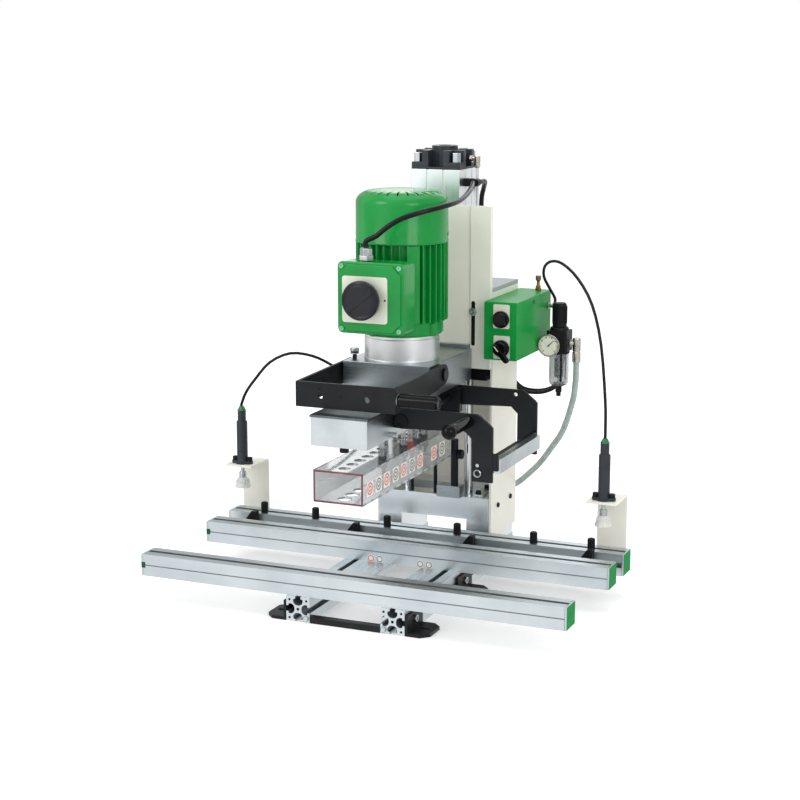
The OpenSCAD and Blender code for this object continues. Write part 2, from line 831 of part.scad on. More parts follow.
module adaptor_ring() color("#d7dadc") {
    difference() {
        rod_z([0, motor_y], [block_top, ring_top], ring_d / 2);
        rod_z([0, motor_y], [block_top - over, ring_top + over], ring_d / 2 - 20);
    }
}

// Finned body with closed end shields and a smooth boss; the fins end on one cylinder
module motor_body() color("#17994a") {
    translate([0, motor_y, 0]) difference() {
        union() {
            translate([0, 0, ring_top]) cylinder(h = flange_h, r = core_r + 2);
            translate([0, 0, ring_top + flange_h]) linear_extrude(motor_h - flange_h) union() {
                circle(r = core_r);
                intersection() {
                    circle(d = motor_d);
                    union() {
                        for (i = [0:fin_count / 2 - 1]) rotate(360 * i / fin_count)
                            square([motor_d + 2, fin_w], center = true);
                        rotate(boss_turn) translate([0, -boss_w / 2]) square([motor_d, boss_w]);
                    }
                }
            }
            translate([0, 0, motor_top]) cylinder(h = 6, r = hood_d / 2 - hood_t);
        }
        translate([0, 0, ring_top + shield_h]) cylinder(h = motor_h - 2 * shield_h, r = core_r - 12);
        translate([0, 0, ring_top - over]) cylinder(h = motor_h + 6 + 2 * over, r = shaft_r + fit);
    }
}

// Outline of the hood from its axis, with a shoulder that is a quarter of an ellipse
module hood_half(r, top, wide, high) {
    polygon(concat([[0, 0], [r, 0]],
        [for (a = [0:9:90]) [r - wide + wide * cos(a), top - high + high * sin(a)]], [[0, top]]));
}

module motor_hood() color("#17994a") {
    r = hood_d / 2;
    difference() {
        translate([0, motor_y, motor_top]) rotate_extrude() difference() {
            hood_half(r, hood_h, dome_w, dome_h);
            translate([0, -over]) hood_half(r - hood_t, hood_h - hood_t + over, dome_w - hood_t,
                dome_h - hood_t);
        }
        for (i = [0:23]) translate([0, motor_y, hood_top]) rotate(15 * i)
            translate([r - dome_w - 6, -2, -10]) cube([26, 4, 12]);
    }
}

// Shaft with the drive pinion, the rotor core and the fan
module motor_rotor() color("#8b8f93") {
    translate([0, motor_y, 0]) {
        translate([0, 0, pinion_z]) cylinder(h = 8, r = gear_r - 2);
        translate([0, 0, pinion_z + 8]) cylinder(h = motor_top + 40 - pinion_z - 8, r = shaft_r);
        translate([0, 0, ring_top + 30]) cylinder(h = motor_h - 60, r = core_r - 22);
        translate([0, 0, motor_top + 16]) {
            cylinder(h = 4, r = fan_r);
            for (i = [0:3]) rotate(45 * i) translate([-fan_r + 2, -1.5, 0])
                cube([2 * fan_r - 4, 3, fan_h]);
        }
    }
}

// Terminal box with its neck on the motor, and the light plate behind the knob
module switch_box() color("#17994a") {
    x0 = switch_x - switch_w / 2;
    x1 = switch_x + switch_w / 2;
    difference() {
        union() {
            slab([x0, x1], [switch_y, switch_y + switch_d], [switch_z, switch_z + switch_h]);
            slab([x0 + neck_in, x1 - neck_in - 4], [switch_y + switch_d, motor_y - 40],
                [switch_z + 12, switch_z + switch_h - 8]);
        }
        rod_z([0, motor_y], [ring_top, motor_top + 20], motor_d / 2);
        slab([x0 + 5, x1 - 5], [switch_y + 6, switch_y + switch_d - 6],
            [switch_z + 5, switch_z + switch_h - 5]);
        rod_y([knob_x, knob_z], [switch_y - over, switch_y + 7], 5 + fit);
    }
    difference() {
        slab([knob_x - 42, knob_x + 42], [switch_y - plate_t2, switch_y], [knob_z - 41, knob_z + 39]);
        rod_y([knob_x, knob_z], [switch_y - plate_t2 - over, switch_y + over], 5 + fit);
    }
    for (x = [x0 + 7, x1 - 7], z = [switch_z + 7, switch_z + switch_h - 7])
        rod_y([x, z], [switch_y - 1.5, switch_y], 4);
}

// Round knob on its neck, with a low bar across
module switch_knob() color("#1c1d22") {
    front = switch_y - plate_t2 - gap;
    disc_y = knob_y + 2;
    rod_y([knob_x, knob_z], [disc_y, disc_y + knob_disc_t], switch_knob_d / 2);
    rod_y([knob_x, knob_z], [disc_y + knob_disc_t, front], knob_neck_r);
    rod_y([knob_x, knob_z], [front, switch_y + 16], 5);
    translate([knob_x, knob_y, knob_z]) rotate([0, -38, 0])
        translate([-switch_knob_d / 2 + 4, 0, -5]) cube([switch_knob_d - 8, 4, 10]);
}

module cable_gland() color("#c9cccd") {
    translate([gland_x, gland_y, gland_z]) {
        cylinder(h = 9, d = gland_d, $fn = 6);
        translate([0, 0, 9]) cylinder(h = gland_h - 9, d = gland_d - 5);
    }
}

module motor_cable() color("#17181a") tube(cable_route, cable_d, [1, 0, 0]);

// Hollow gear box with spindle bores, guard pin bores and a cover plate
module gear_head() color("#c3c6c9") {
    difference() {
        slab([-gear_half, gear_half], [gear_y, gear_back], [gear_z, block_z - cover_t]);
        slab([-gear_half + gear_wall, gear_half - gear_wall], [gear_y + gear_wall, gear_back - gear_wall],
            [gear_z + gear_floor, block_z]);
        for (i = fitted) rod_z([0, spindle_y0 + i * pitch], [gear_z - over, gear_z + gear_floor + over],
            nose_r + fit);
        for (i = [2, 3, 4, 6, 7]) rod_z([0, spindle_y0 + i * pitch], [gear_z - over, gear_z + 3], 5);
        for (y = guard_pin_ys) rod_z([guard_pin_x, y], [gear_z - over, gear_z + gear_floor + over],
            guard_pin_d / 2 + fit);
    }
    difference() {
        slab([-gear_half - cover_lip, gear_half + cover_lip], [gear_y - cover_lip, gear_back],
            [block_z - cover_t, block_z]);
        rod_z([0, motor_y], [block_z - cover_t - over, block_z + over], 14);
    }
    rod_x([spindle_y0 + 2.4 * pitch, gear_z + 7], [gear_half, gear_half + 12], 4.5);
}

// Gear and nose of the spindle at one of the fitted places; the front ones carry no chuck or bit
module spindle(i) color("#2a2b2e") {
    drop = i < bare_spindles ? bare_drop : nose_drop;
    translate([0, spindle_y0 + fitted[i] * pitch, 0]) {
        translate([0, 0, gear_z + gear_floor + gap]) cylinder(h = 12, r = gear_r);
        translate([0, 0, gear_z - drop]) cylinder(h = drop + gear_floor + gap, r = nose_r);
        if (i >= bare_spindles) {
            translate([0, 0, chuck_z]) cylinder(h = chuck_h, d = chuck_d);
            translate([0, 0, chuck_z - shank_h]) cylinder(h = shank_h, d = bit_d);
            translate([0, 0, tip_z + 5]) cylinder(h = chuck_z - shank_h - tip_z - 5, d = bit_d - 2);
            translate([0, 0, tip_z]) cylinder(h = 5, r1 = 0.4, r2 = bit_d / 2 - 1);
        }
    }
}

// Clear rectangular tube with a hole over and under each spindle place, on two guide pins
module guard() color("#e6ecee", 0.6) {
    back = guard_y + guard_len;
    difference() {
        slab([-guard_half, guard_half], [guard_y, back], [guard_z, guard_z + guard_h]);
        slab([-guard_half + guard_t, guard_half - guard_t], [guard_y - over, back + over],
            [guard_z + guard_t, guard_z + guard_h - guard_t]);
        for (i = [0:spindle_n - 1]) {
            rod_z([0, spindle_y0 + i * pitch], [guard_z + guard_h - guard_t - over, guard_z + guard_h + over],
                top_hole_d / 2);
            rod_z([0, spindle_y0 + i * pitch], [guard_z - over, guard_z + guard_t + over], low_hole_d / 2);
        }
    }
    for (y = guard_pin_ys) rod_z([guard_pin_x, y], [guard_z + guard_h, guard_pin_top], guard_pin_d / 2);
}

// Outline of one arm in (Y, Z)
module u_arm() {
    difference() {
        union() {
            polygon([[u_front, u_z], [u_front, u_top], [u_pivot[0], u_pivot[1] + u_end_r],
                [u_pivot[0], u_pivot[1] - u_end_r], [block_y - 60, u_z]]);
            translate(u_pivot) circle(r = u_end_r);
        }
        translate(u_pivot) circle(r = u_pin_r + fit);
    }
}

module u_frame() color("#1f2023") {
    both_sides() along_x([u_in, u_out]) u_arm();
    difference() {
        slab([-u_in, u_in], [u_front, u_front + bar_t], [u_z, u_top]);
        for (h = u_holes) {
            rod_y([h[0], u_hole_z], [u_front - over, u_front + bar_t + over], h[1]);
            rod_y([h[0], u_top - 10.5], [u_front - over, u_front + bar_t + over], 1.5);
        }
        rod_y([-6, u_hole_z + 3], [u_front - over, u_front + bar_t + over], 3.5);
    }
    rod_y([-6, u_hole_z + 3], [u_front + 1, u_front + bar_t], 3.5);
}

module u_grip() color("#17181a") {
    at = [u_front + grip_d / 2, u_z + u_frame_h / 2];
    rod_x(at, [u_out, u_out + u_grip_len - 4], grip_d / 2);
    translate([u_out + u_grip_len - 4, at[0], at[1]]) rotate([0, 90, 0])
        cylinder(h = 4, r1 = grip_d / 2, r2 = grip_d / 2 - 3);
}

// Outline of one side plate in (X, Z): bar, chamfered corner and leg
module l_plate() {
    difference() {
        union() {
            translate([l_pivot_x, l_pivot_z]) circle(r = l_end_r);
            polygon([[l_pivot_x - l_end_r + 1, l_pivot_z + 2], [l_pivot_x + 2, l_bar_top],
                [l_in - 7, l_bar_top], [l_out - 4, l_pivot_z], [l_out, l_pivot_z - 12], [l_out, l_foot],
                [l_in, l_foot], [l_in, l_bar_low - 12], [l_in - 12, l_bar_low],
                [l_pivot_x, l_bar_low - 3], [l_pivot_x - l_end_r / 2, l_pivot_z - l_end_r / 2]]);
        }
        translate([l_in - 2, l_bar_top - 7]) circle(d = 8);
    }
}

// Two side plates on the pivot shaft, with the cam screws on the front leg, an angle and a tie bar
module l_frame() color("#1f2023") {
    for (y = [l_front, l_rear]) along_y([y, y + plate_t]) l_plate();
    rod_y([l_pivot_x, l_pivot_z], [l_front + plate_t, l_rear], l_shaft_r);
    rod_y([l_pivot_x, l_pivot_z], [l_front - 3, l_front], l_end_r - 1.5);
    rod_y([l_in + 11, l_foot + 15], [l_front - 4, l_front], 7);
    rod_y([l_in + 11, l_foot + 29], [l_front - 3, l_front], 3);
    slab([l_out, l_out + 10], [l_front, l_front + 4], [l_foot + 21, l_foot + 51]);
    slab([l_out - 9, l_out], [l_front + plate_t, l_rear], [l_cross_z[1] - 4, l_cross_z[1]]);
}

module l_crossbar() color("#cfd2d3") {
    slab([l_out, l_out + l_cross_t], [l_front + 4, l_cross_back], l_cross_z);
}

module l_grip() color("#17181a") {
    rod_y([l_grip_x, l_grip_z], [l_front - l_grip_len + grip_d / 2, l_front], grip_d / 2 - 1.5);
    translate([l_grip_x, l_front - l_grip_len + grip_d / 2, l_grip_z]) sphere(r = grip_d / 2 + 1);
}

module control_box() color("#17994a") {
    difference() {
        slab([box_x, box_x + box_w], [box_y, box_back], [box_z, box_z + box_h]);
        for (k = [upper_knob, lower_knob]) rod_y(k, [box_y - over, box_y + 20], knob_shaft_r + fit);
        slab([box_x + box_w - 2, box_x + box_w + over], [box_y + 92, box_y + 98],
            [box_z + box_h - 14, box_z + box_h - 6]);
    }
    for (k = [[upper_knob, 22, 20], [lower_knob, 22, 22]]) difference() {
        slab([k[0][0] - label_half, k[0][0] + label_half], [box_y - label_t, box_y],
            [k[0][1] - k[2], k[0][1] + k[1]]);
        rod_y(k[0], [box_y - label_t - over, box_y + over], knob_shaft_r + fit);
    }
}

module control_knob(at, lever) color("#1a1b1d") {
    back = box_y - label_t - gap;
    rod_y(at, [back - knob_h, back], control_knob_d / 2);
    rod_y(at, [back, box_y + 19], knob_shaft_r);
    if (lever) translate([at[0], back - knob_h, at[1]]) rotate([0, 50, 0])
        translate([-10, -10, -5]) cube([36, 10, 10]);
}

// Body with gauge case, filter bowl, drain and mounting nipple
module regulator_body() color("#1c1d1f") {
    at = [reg_x, reg_y];
    difference() {
        slab([reg_x - reg_half, reg_x + reg_half], [reg_y - reg_half, reg_y + reg_half],
            [reg_z, reg_z + reg_h]);
        rod_z(at, [reg_z + reg_h - 20, reg_z + reg_h + over], 5 + fit);
    }
    rod_z(at, [reg_z - bowl_h, reg_z], bowl_d / 2);
    rod_z(at, [reg_z - bowl_h - drain_h, reg_z - bowl_h], 6);
    rod_x([reg_y, outlet_z], [box_x + box_w, reg_x - reg_half], 8);
    difference() {
        rod_y([gauge_x, gauge_z], [reg_y - reg_half - gauge_t, reg_y - reg_half], gauge_d / 2);
        rod_y([gauge_x, gauge_z], [reg_y - reg_half - gauge_t - over, reg_y - reg_half - gauge_t + 3],
            gauge_d / 2 - 2.5);
        rod_y([gauge_x, gauge_z], [reg_y - reg_half - gauge_t, reg_y - reg_half - 3], 1.5 + fit);
    }
}

module regulator_knob() color("#1c1d1f") {
    rod_z([reg_x, reg_y], [reg_z + reg_h + gap, reg_z + reg_h + gap + reg_cap_h], regulator_knob_d / 2);
    rod_z([reg_x, reg_y], [reg_z + reg_h - 18, reg_z + reg_h + gap], 5);
}

module gauge_needle() color("#1a1b1d") {
    face = reg_y - reg_half - gauge_t;
    rod_y([gauge_x, gauge_z], [face + 1, face + 8], 1.5);
    translate([gauge_x, face + 1.2, gauge_z]) rotate([0, -45, 0]) translate([-4, 0, -0.6])
        cube([needle_len + 4, 0.8, 1.2]);
}

module air_hoses() color("#17181a") {
    tube(right_tube_route, tube_d, [0, 1, 0]);
    tube(left_tube_route, tube_d, [0, 1, 0]);
    tube(tail_route, cable_d, [1, 0, 0]);
    tube(hose_route, hose_d, [0, 1, 0]);
    for (i = [0, 1]) tube([for (k = [0:len(bundle_route) - 1])
        bundle_route[k] + i * (k < 2 ? bundle_ports : bundle_step)], 7, [1, 1, 1]);
    rod_z([drop_x, port_y], [top_plate_z + 14, port_z - 16], 3);
}

// Upright on the back rail's rear face, and flange over the rail, of each hold-down's bracket
module hold_brackets() color("#eceadf") {
    for (x = hold_xs) {
        span = [x - hold_bracket_w / 2, x + hold_bracket_w / 2];
        upright = back_rail_y + rail_d;
        difference() {
            union() {
                slab(span, [upright, upright + hold_sheet], [rail_z + 4, hold_flange_z]);
                slab(span, [hold_y - 17, upright + hold_sheet], [hold_flange_z - hold_sheet, hold_flange_z]);
            }
            rod_z([x, hold_y], [hold_flange_z - hold_sheet - over, hold_flange_z + over], rod_r + 2);
        }
    }
}

module hold_bodies() color("#1b1c1e") {
    flange_top = hold_flange_z + hold_flange_t;
    for (x = hold_xs) {
        difference() {
            union() {
                translate([x, hold_y, hold_flange_z]) linear_extrude(hold_flange_t) {
                    circle(r = 14);
                    square([2 * hold_lug_x, 14], center = true);
                    for (side = [-1, 1]) translate([side * hold_lug_x, 0]) circle(r = 7);
                }
                rod_z([x, hold_y], [flange_top, flange_top + hold_body_h], hold_d / 2);
                rod_z([x, hold_y], [flange_top + hold_body_h, flange_top + hold_body_h + hold_neck_h],
                    hold_neck_d / 2);
                translate([x, hold_y, flange_top + hold_body_h + hold_neck_h])
                    cylinder(h = hold_cap_h, r1 = hold_neck_d / 2 + 1.5, r2 = tube_d / 2 + 1.5);
            }
            rod_z([x, hold_y], [hold_flange_z - over, hold_flange_z + rod_in + 2], rod_r + fit);
        }
        for (side = [-1, 1]) rod_z([x + side * hold_lug_x, hold_y], [flange_top, flange_top + 7], 6);
    }
}

module pad(i) color("#dfe6ea", 0.7) {
    translate([hold_xs[i], hold_y, 0]) {
        translate([0, 0, pad_z]) cylinder(h = pad_h - 12, r1 = pad_d / 2, r2 = pad_d / 2 - 5);
        translate([0, 0, pad_z + pad_h - 12]) cylinder(h = 12, r = 7);
        translate([0, 0, pad_z + pad_h]) cylinder(h = hold_flange_z + rod_in - pad_z - pad_h, r = rod_r);
    }
}

at_origin() {
    base_profiles();
    base_brackets();
    rail_supports();
    front_rail();
    middle_rail();
    back_rail();
    rail_end_caps();
    stop_pins();
    flip_stop(0);  // flip_stop_1
    flip_stop(1);  // flip_stop_2
    flip_stop(2);  // flip_stop_3
    flip_stop(3);  // flip_stop_4
    portal();
    column_shell();
    column_top_plate();
    guide_rods();
    depth_stop();
    cylinder_tube();
    cylinder_caps();
    frame_fittings();
    piston_rod();
    carriage_plate();
    carriage_block();
    slide_block();
    head_block();
    head_brackets();
    adaptor_ring();
    motor_body();
    motor_hood();
    motor_rotor();
    switch_box();
    switch_knob();
    cable_gland();
    motor_cable();
    gear_head();
    spindle(0);  // spindle_1
    spindle(1);  // spindle_2
    spindle(2);  // spindle_3
    spindle(3);  // spindle_4
    spindle(4);  // spindle_5
    spindle(5);  // spindle_6
    spindle(6);  // spindle_7
    guard();
    u_frame();
    u_grip();
    l_frame();
    l_crossbar();
    l_grip();
    control_box();
    control_knob(upper_knob, false);
    control_knob(lower_knob, true);
    regulator_body();
    regulator_knob();
    gauge_needle();
    air_hoses();
    hold_brackets();
    hold_bodies();
    pad(0);  // left_pad
    pad(1);  // right_pad
}
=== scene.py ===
import json
import math

import bmesh
import bpy
from mathutils import Matrix, Vector

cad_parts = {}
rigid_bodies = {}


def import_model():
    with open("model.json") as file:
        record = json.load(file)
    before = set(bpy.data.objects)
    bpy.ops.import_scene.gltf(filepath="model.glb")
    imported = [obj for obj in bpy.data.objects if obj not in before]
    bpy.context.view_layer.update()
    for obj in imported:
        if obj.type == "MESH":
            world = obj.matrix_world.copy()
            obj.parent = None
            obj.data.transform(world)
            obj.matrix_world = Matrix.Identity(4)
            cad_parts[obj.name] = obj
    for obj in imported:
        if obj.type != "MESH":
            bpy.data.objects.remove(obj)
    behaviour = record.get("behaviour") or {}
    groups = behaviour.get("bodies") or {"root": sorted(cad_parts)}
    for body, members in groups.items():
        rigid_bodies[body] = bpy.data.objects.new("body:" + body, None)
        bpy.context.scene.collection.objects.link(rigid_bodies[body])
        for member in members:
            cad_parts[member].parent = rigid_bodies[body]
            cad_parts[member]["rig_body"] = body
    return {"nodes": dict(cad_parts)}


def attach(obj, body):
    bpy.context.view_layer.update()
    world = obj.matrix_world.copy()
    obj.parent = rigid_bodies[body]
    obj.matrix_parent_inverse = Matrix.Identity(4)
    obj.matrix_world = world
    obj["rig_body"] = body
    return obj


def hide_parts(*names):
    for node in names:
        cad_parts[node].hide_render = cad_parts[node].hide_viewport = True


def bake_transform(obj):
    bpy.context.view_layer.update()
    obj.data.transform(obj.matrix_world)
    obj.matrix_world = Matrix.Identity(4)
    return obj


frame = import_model()
scene = bpy.context.scene
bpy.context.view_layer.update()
print("stage: frame loaded,", len(frame["nodes"]), "nodes")

# Pieces are modelled in millimetres from the front rail's face, the middle plane and the bench
mm = 0.001
feetMiddle = 267.5  # the frame's origin lies this far behind the front rail's face
toFrame = Matrix.Scale(mm, 4) @ Matrix.Translation((0, -feetMiddle, 0))


def linear(hexColour):
    parts = [int(hexColour[i:i + 2], 16) / 255 for i in (1, 3, 5)]
    return [c / 12.92 if c <= 0.04045 else ((c + 0.055) / 1.055) ** 2.4 for c in parts] + [1.0]


def addNode(tree, kind, inputs=None, **settings):
    node = tree.nodes.new(kind)
    for key, value in settings.items():
        setattr(node, key, value)
    for key, value in (inputs or {}).items():
        if isinstance(value, bpy.types.Node):  # a node stands for its first output
            value = value.outputs[0]
        if isinstance(value, bpy.types.NodeSocket):
            tree.links.new(value, node.inputs[key])
        else:
            node.inputs[key].default_value = value
    return node


# Camera, lamps and floor

camera = {
    "place": (1.251377, -2.975104, 1.003810),
    "pitch": 78.52228,
    "turn": 23.01835,
    "lens": 81.768,
}
lamps = {
    "key": {"place": (-1.7, -2.5, 2.1), "size": 1.5, "watts": 26},
    "fill": {"place": (2.3, -2.0, 1.5), "size": 1.3, "watts": 18},
    "top": {"place": (0.0, 0.2, 2.9), "size": 2.2, "watts": 16},
    "back": {"place": (-0.6, 2.6, 1.7), "size": 1.6, "watts": 10},
}
lampAim = 0.35  # the lamps look at the middle line at this height, in metres
backdrop = {"daylight": 0.92, "floorGlow": 0.26, "floorColour": "#f2f2f2", "floorHalf": 7.0}
# What a shine sees of the room, by compass turn from the left round the front, the right and the back:
# strip lamps stand left and right, a white screen before the rails, and darkness behind
roomTones = ((0.0, 1.1), (0.04, 0.6), (0.115, 0.85), (0.15, 1.32), (0.215, 1.32), (0.26, 0.85), (0.39, 0.75),
             (0.425, 1.15), (0.455, 0.7), (0.6, 0.75), (0.66, 1.0), (0.71, 0.95), (0.77, 0.55),
             (0.88, 0.5), (0.955, 0.6), (1.0, 1.1))


def roomTone(tree, way):
    turn = addNode(tree, "ShaderNodeTexGradient", {"Vector": way}, gradient_type="RADIAL")
    tones = addNode(tree, "ShaderNodeValToRGB", {"Fac": turn.outputs["Fac"]})
    ramp = tones.color_ramp
    while len(ramp.elements) < len(roomTones):
        ramp.elements.new(0.5)
    for stop, (place, level) in zip(ramp.elements, roomTones):
        stop.position = place
        stop.color = (level, level, level, 1)
    return tones.outputs["Color"]


# What kind of ray asks: one that shows the background, and a shine
def raysOf(tree):
    rays = addNode(tree, "ShaderNodeLightPath").outputs
    seen = addNode(tree, "ShaderNodeMath", {0: rays["Is Camera Ray"], 1: rays["Is Transmission Ray"]},
            operation="MAXIMUM")
    return seen, rays["Is Glossy Ray"]


def makeView():
    view = bpy.data.cameras.new("camera")
    view.lens = camera["lens"]
    view.sensor_width = 36
    view.clip_end = 60
    eye = bpy.data.objects.new("camera", view)
    eye.location = camera["place"]
    eye.rotation_euler = (math.radians(camera["pitch"]), 0, math.radians(camera["turn"]))
    scene.collection.objects.link(eye)
    scene.camera = eye
    scene.view_settings.view_transform = "Standard"
    for name, lamp in lamps.items():
        light = bpy.data.lights.new(name, "AREA")
        light.size = lamp["size"]
        light.energy = lamp["watts"]
        holder = bpy.data.objects.new(name, light)
        holder.location = lamp["place"]
        aim = Vector((0, 0, lampAim)) - Vector(lamp["place"])
        holder.rotation_euler = aim.to_track_quat("-Z", "Y").to_euler()
        scene.collection.objects.link(holder)


def makeRoom():
    world = bpy.data.worlds.new("studio")
    scene.world = world
    world.use_nodes = True
    tree = world.node_tree
    tree.nodes.clear()
    seen, glossy = raysOf(tree)
    level = addNode(tree, "ShaderNodeMix", {"Factor": seen, 2: backdrop["daylight"], 3: 1.0},
            data_type="FLOAT")
    room = roomTone(tree, addNode(tree, "ShaderNodeTexCoord").outputs["Generated"])
    shown = addNode(tree, "ShaderNodeMix", {"Factor": glossy, 2: level, 3: room}, data_type="FLOAT")
    sky = addNode(tree, "ShaderNodeBackground", {"Color": (1, 1, 1, 1), "Strength": shown})
    addNode(tree, "ShaderNodeOutputWorld", {"Surface": sky})


# The floor is lit, so it keeps the shadow, and glows a little only where the camera or a shine sees it
def makeFloor():
    half = backdrop["floorHalf"]
    mesh = bpy.data.meshes.new("floor")
    mesh.from_pydata([(-half, -half, 0), (half, -half, 0), (half, half, 0), (-half, half, 0)], [],
            [(0, 1, 2, 3)])
    floor = bpy.data.objects.new("floor", mesh)
    scene.collection.objects.link(floor)
    paint = bpy.data.materials.new("matteFloorPaint")
    paint.use_nodes = True
    tree = paint.node_tree
    tree.nodes.clear()
    seen, glossy = raysOf(tree)
    glow = addNode(tree, "ShaderNodeMath", {0: seen, 1: backdrop["floorGlow"]}, operation="MULTIPLY")
    shade = addNode(tree, "ShaderNodeBsdfDiffuse", {"Color": linear(backdrop["floorColour"])})
    light = addNode(tree, "ShaderNodeEmission", {"Color": (1, 1, 1, 1), "Strength": glow})
    both = addNode(tree, "ShaderNodeAddShader", {0: shade, 1: light})
    back = addNode(tree, "ShaderNodeNewGeometry").outputs["Incoming"]
    away = addNode(tree, "ShaderNodeVectorMath", {0: back, "Scale": -1.0}, operation="SCALE")
    mirrored = addNode(tree, "ShaderNodeEmission", {"Color": roomTone(tree, away), "Strength": 1.0})
    shown = addNode(tree, "ShaderNodeMixShader", {0: glossy, 1: both, 2: mirrored})
    addNode(tree, "ShaderNodeOutputMaterial", {"Surface": shown})
    mesh.materials.append(paint)


makeView()
makeRoom()
makeFloor()
print("stage: camera, lamps and floor")

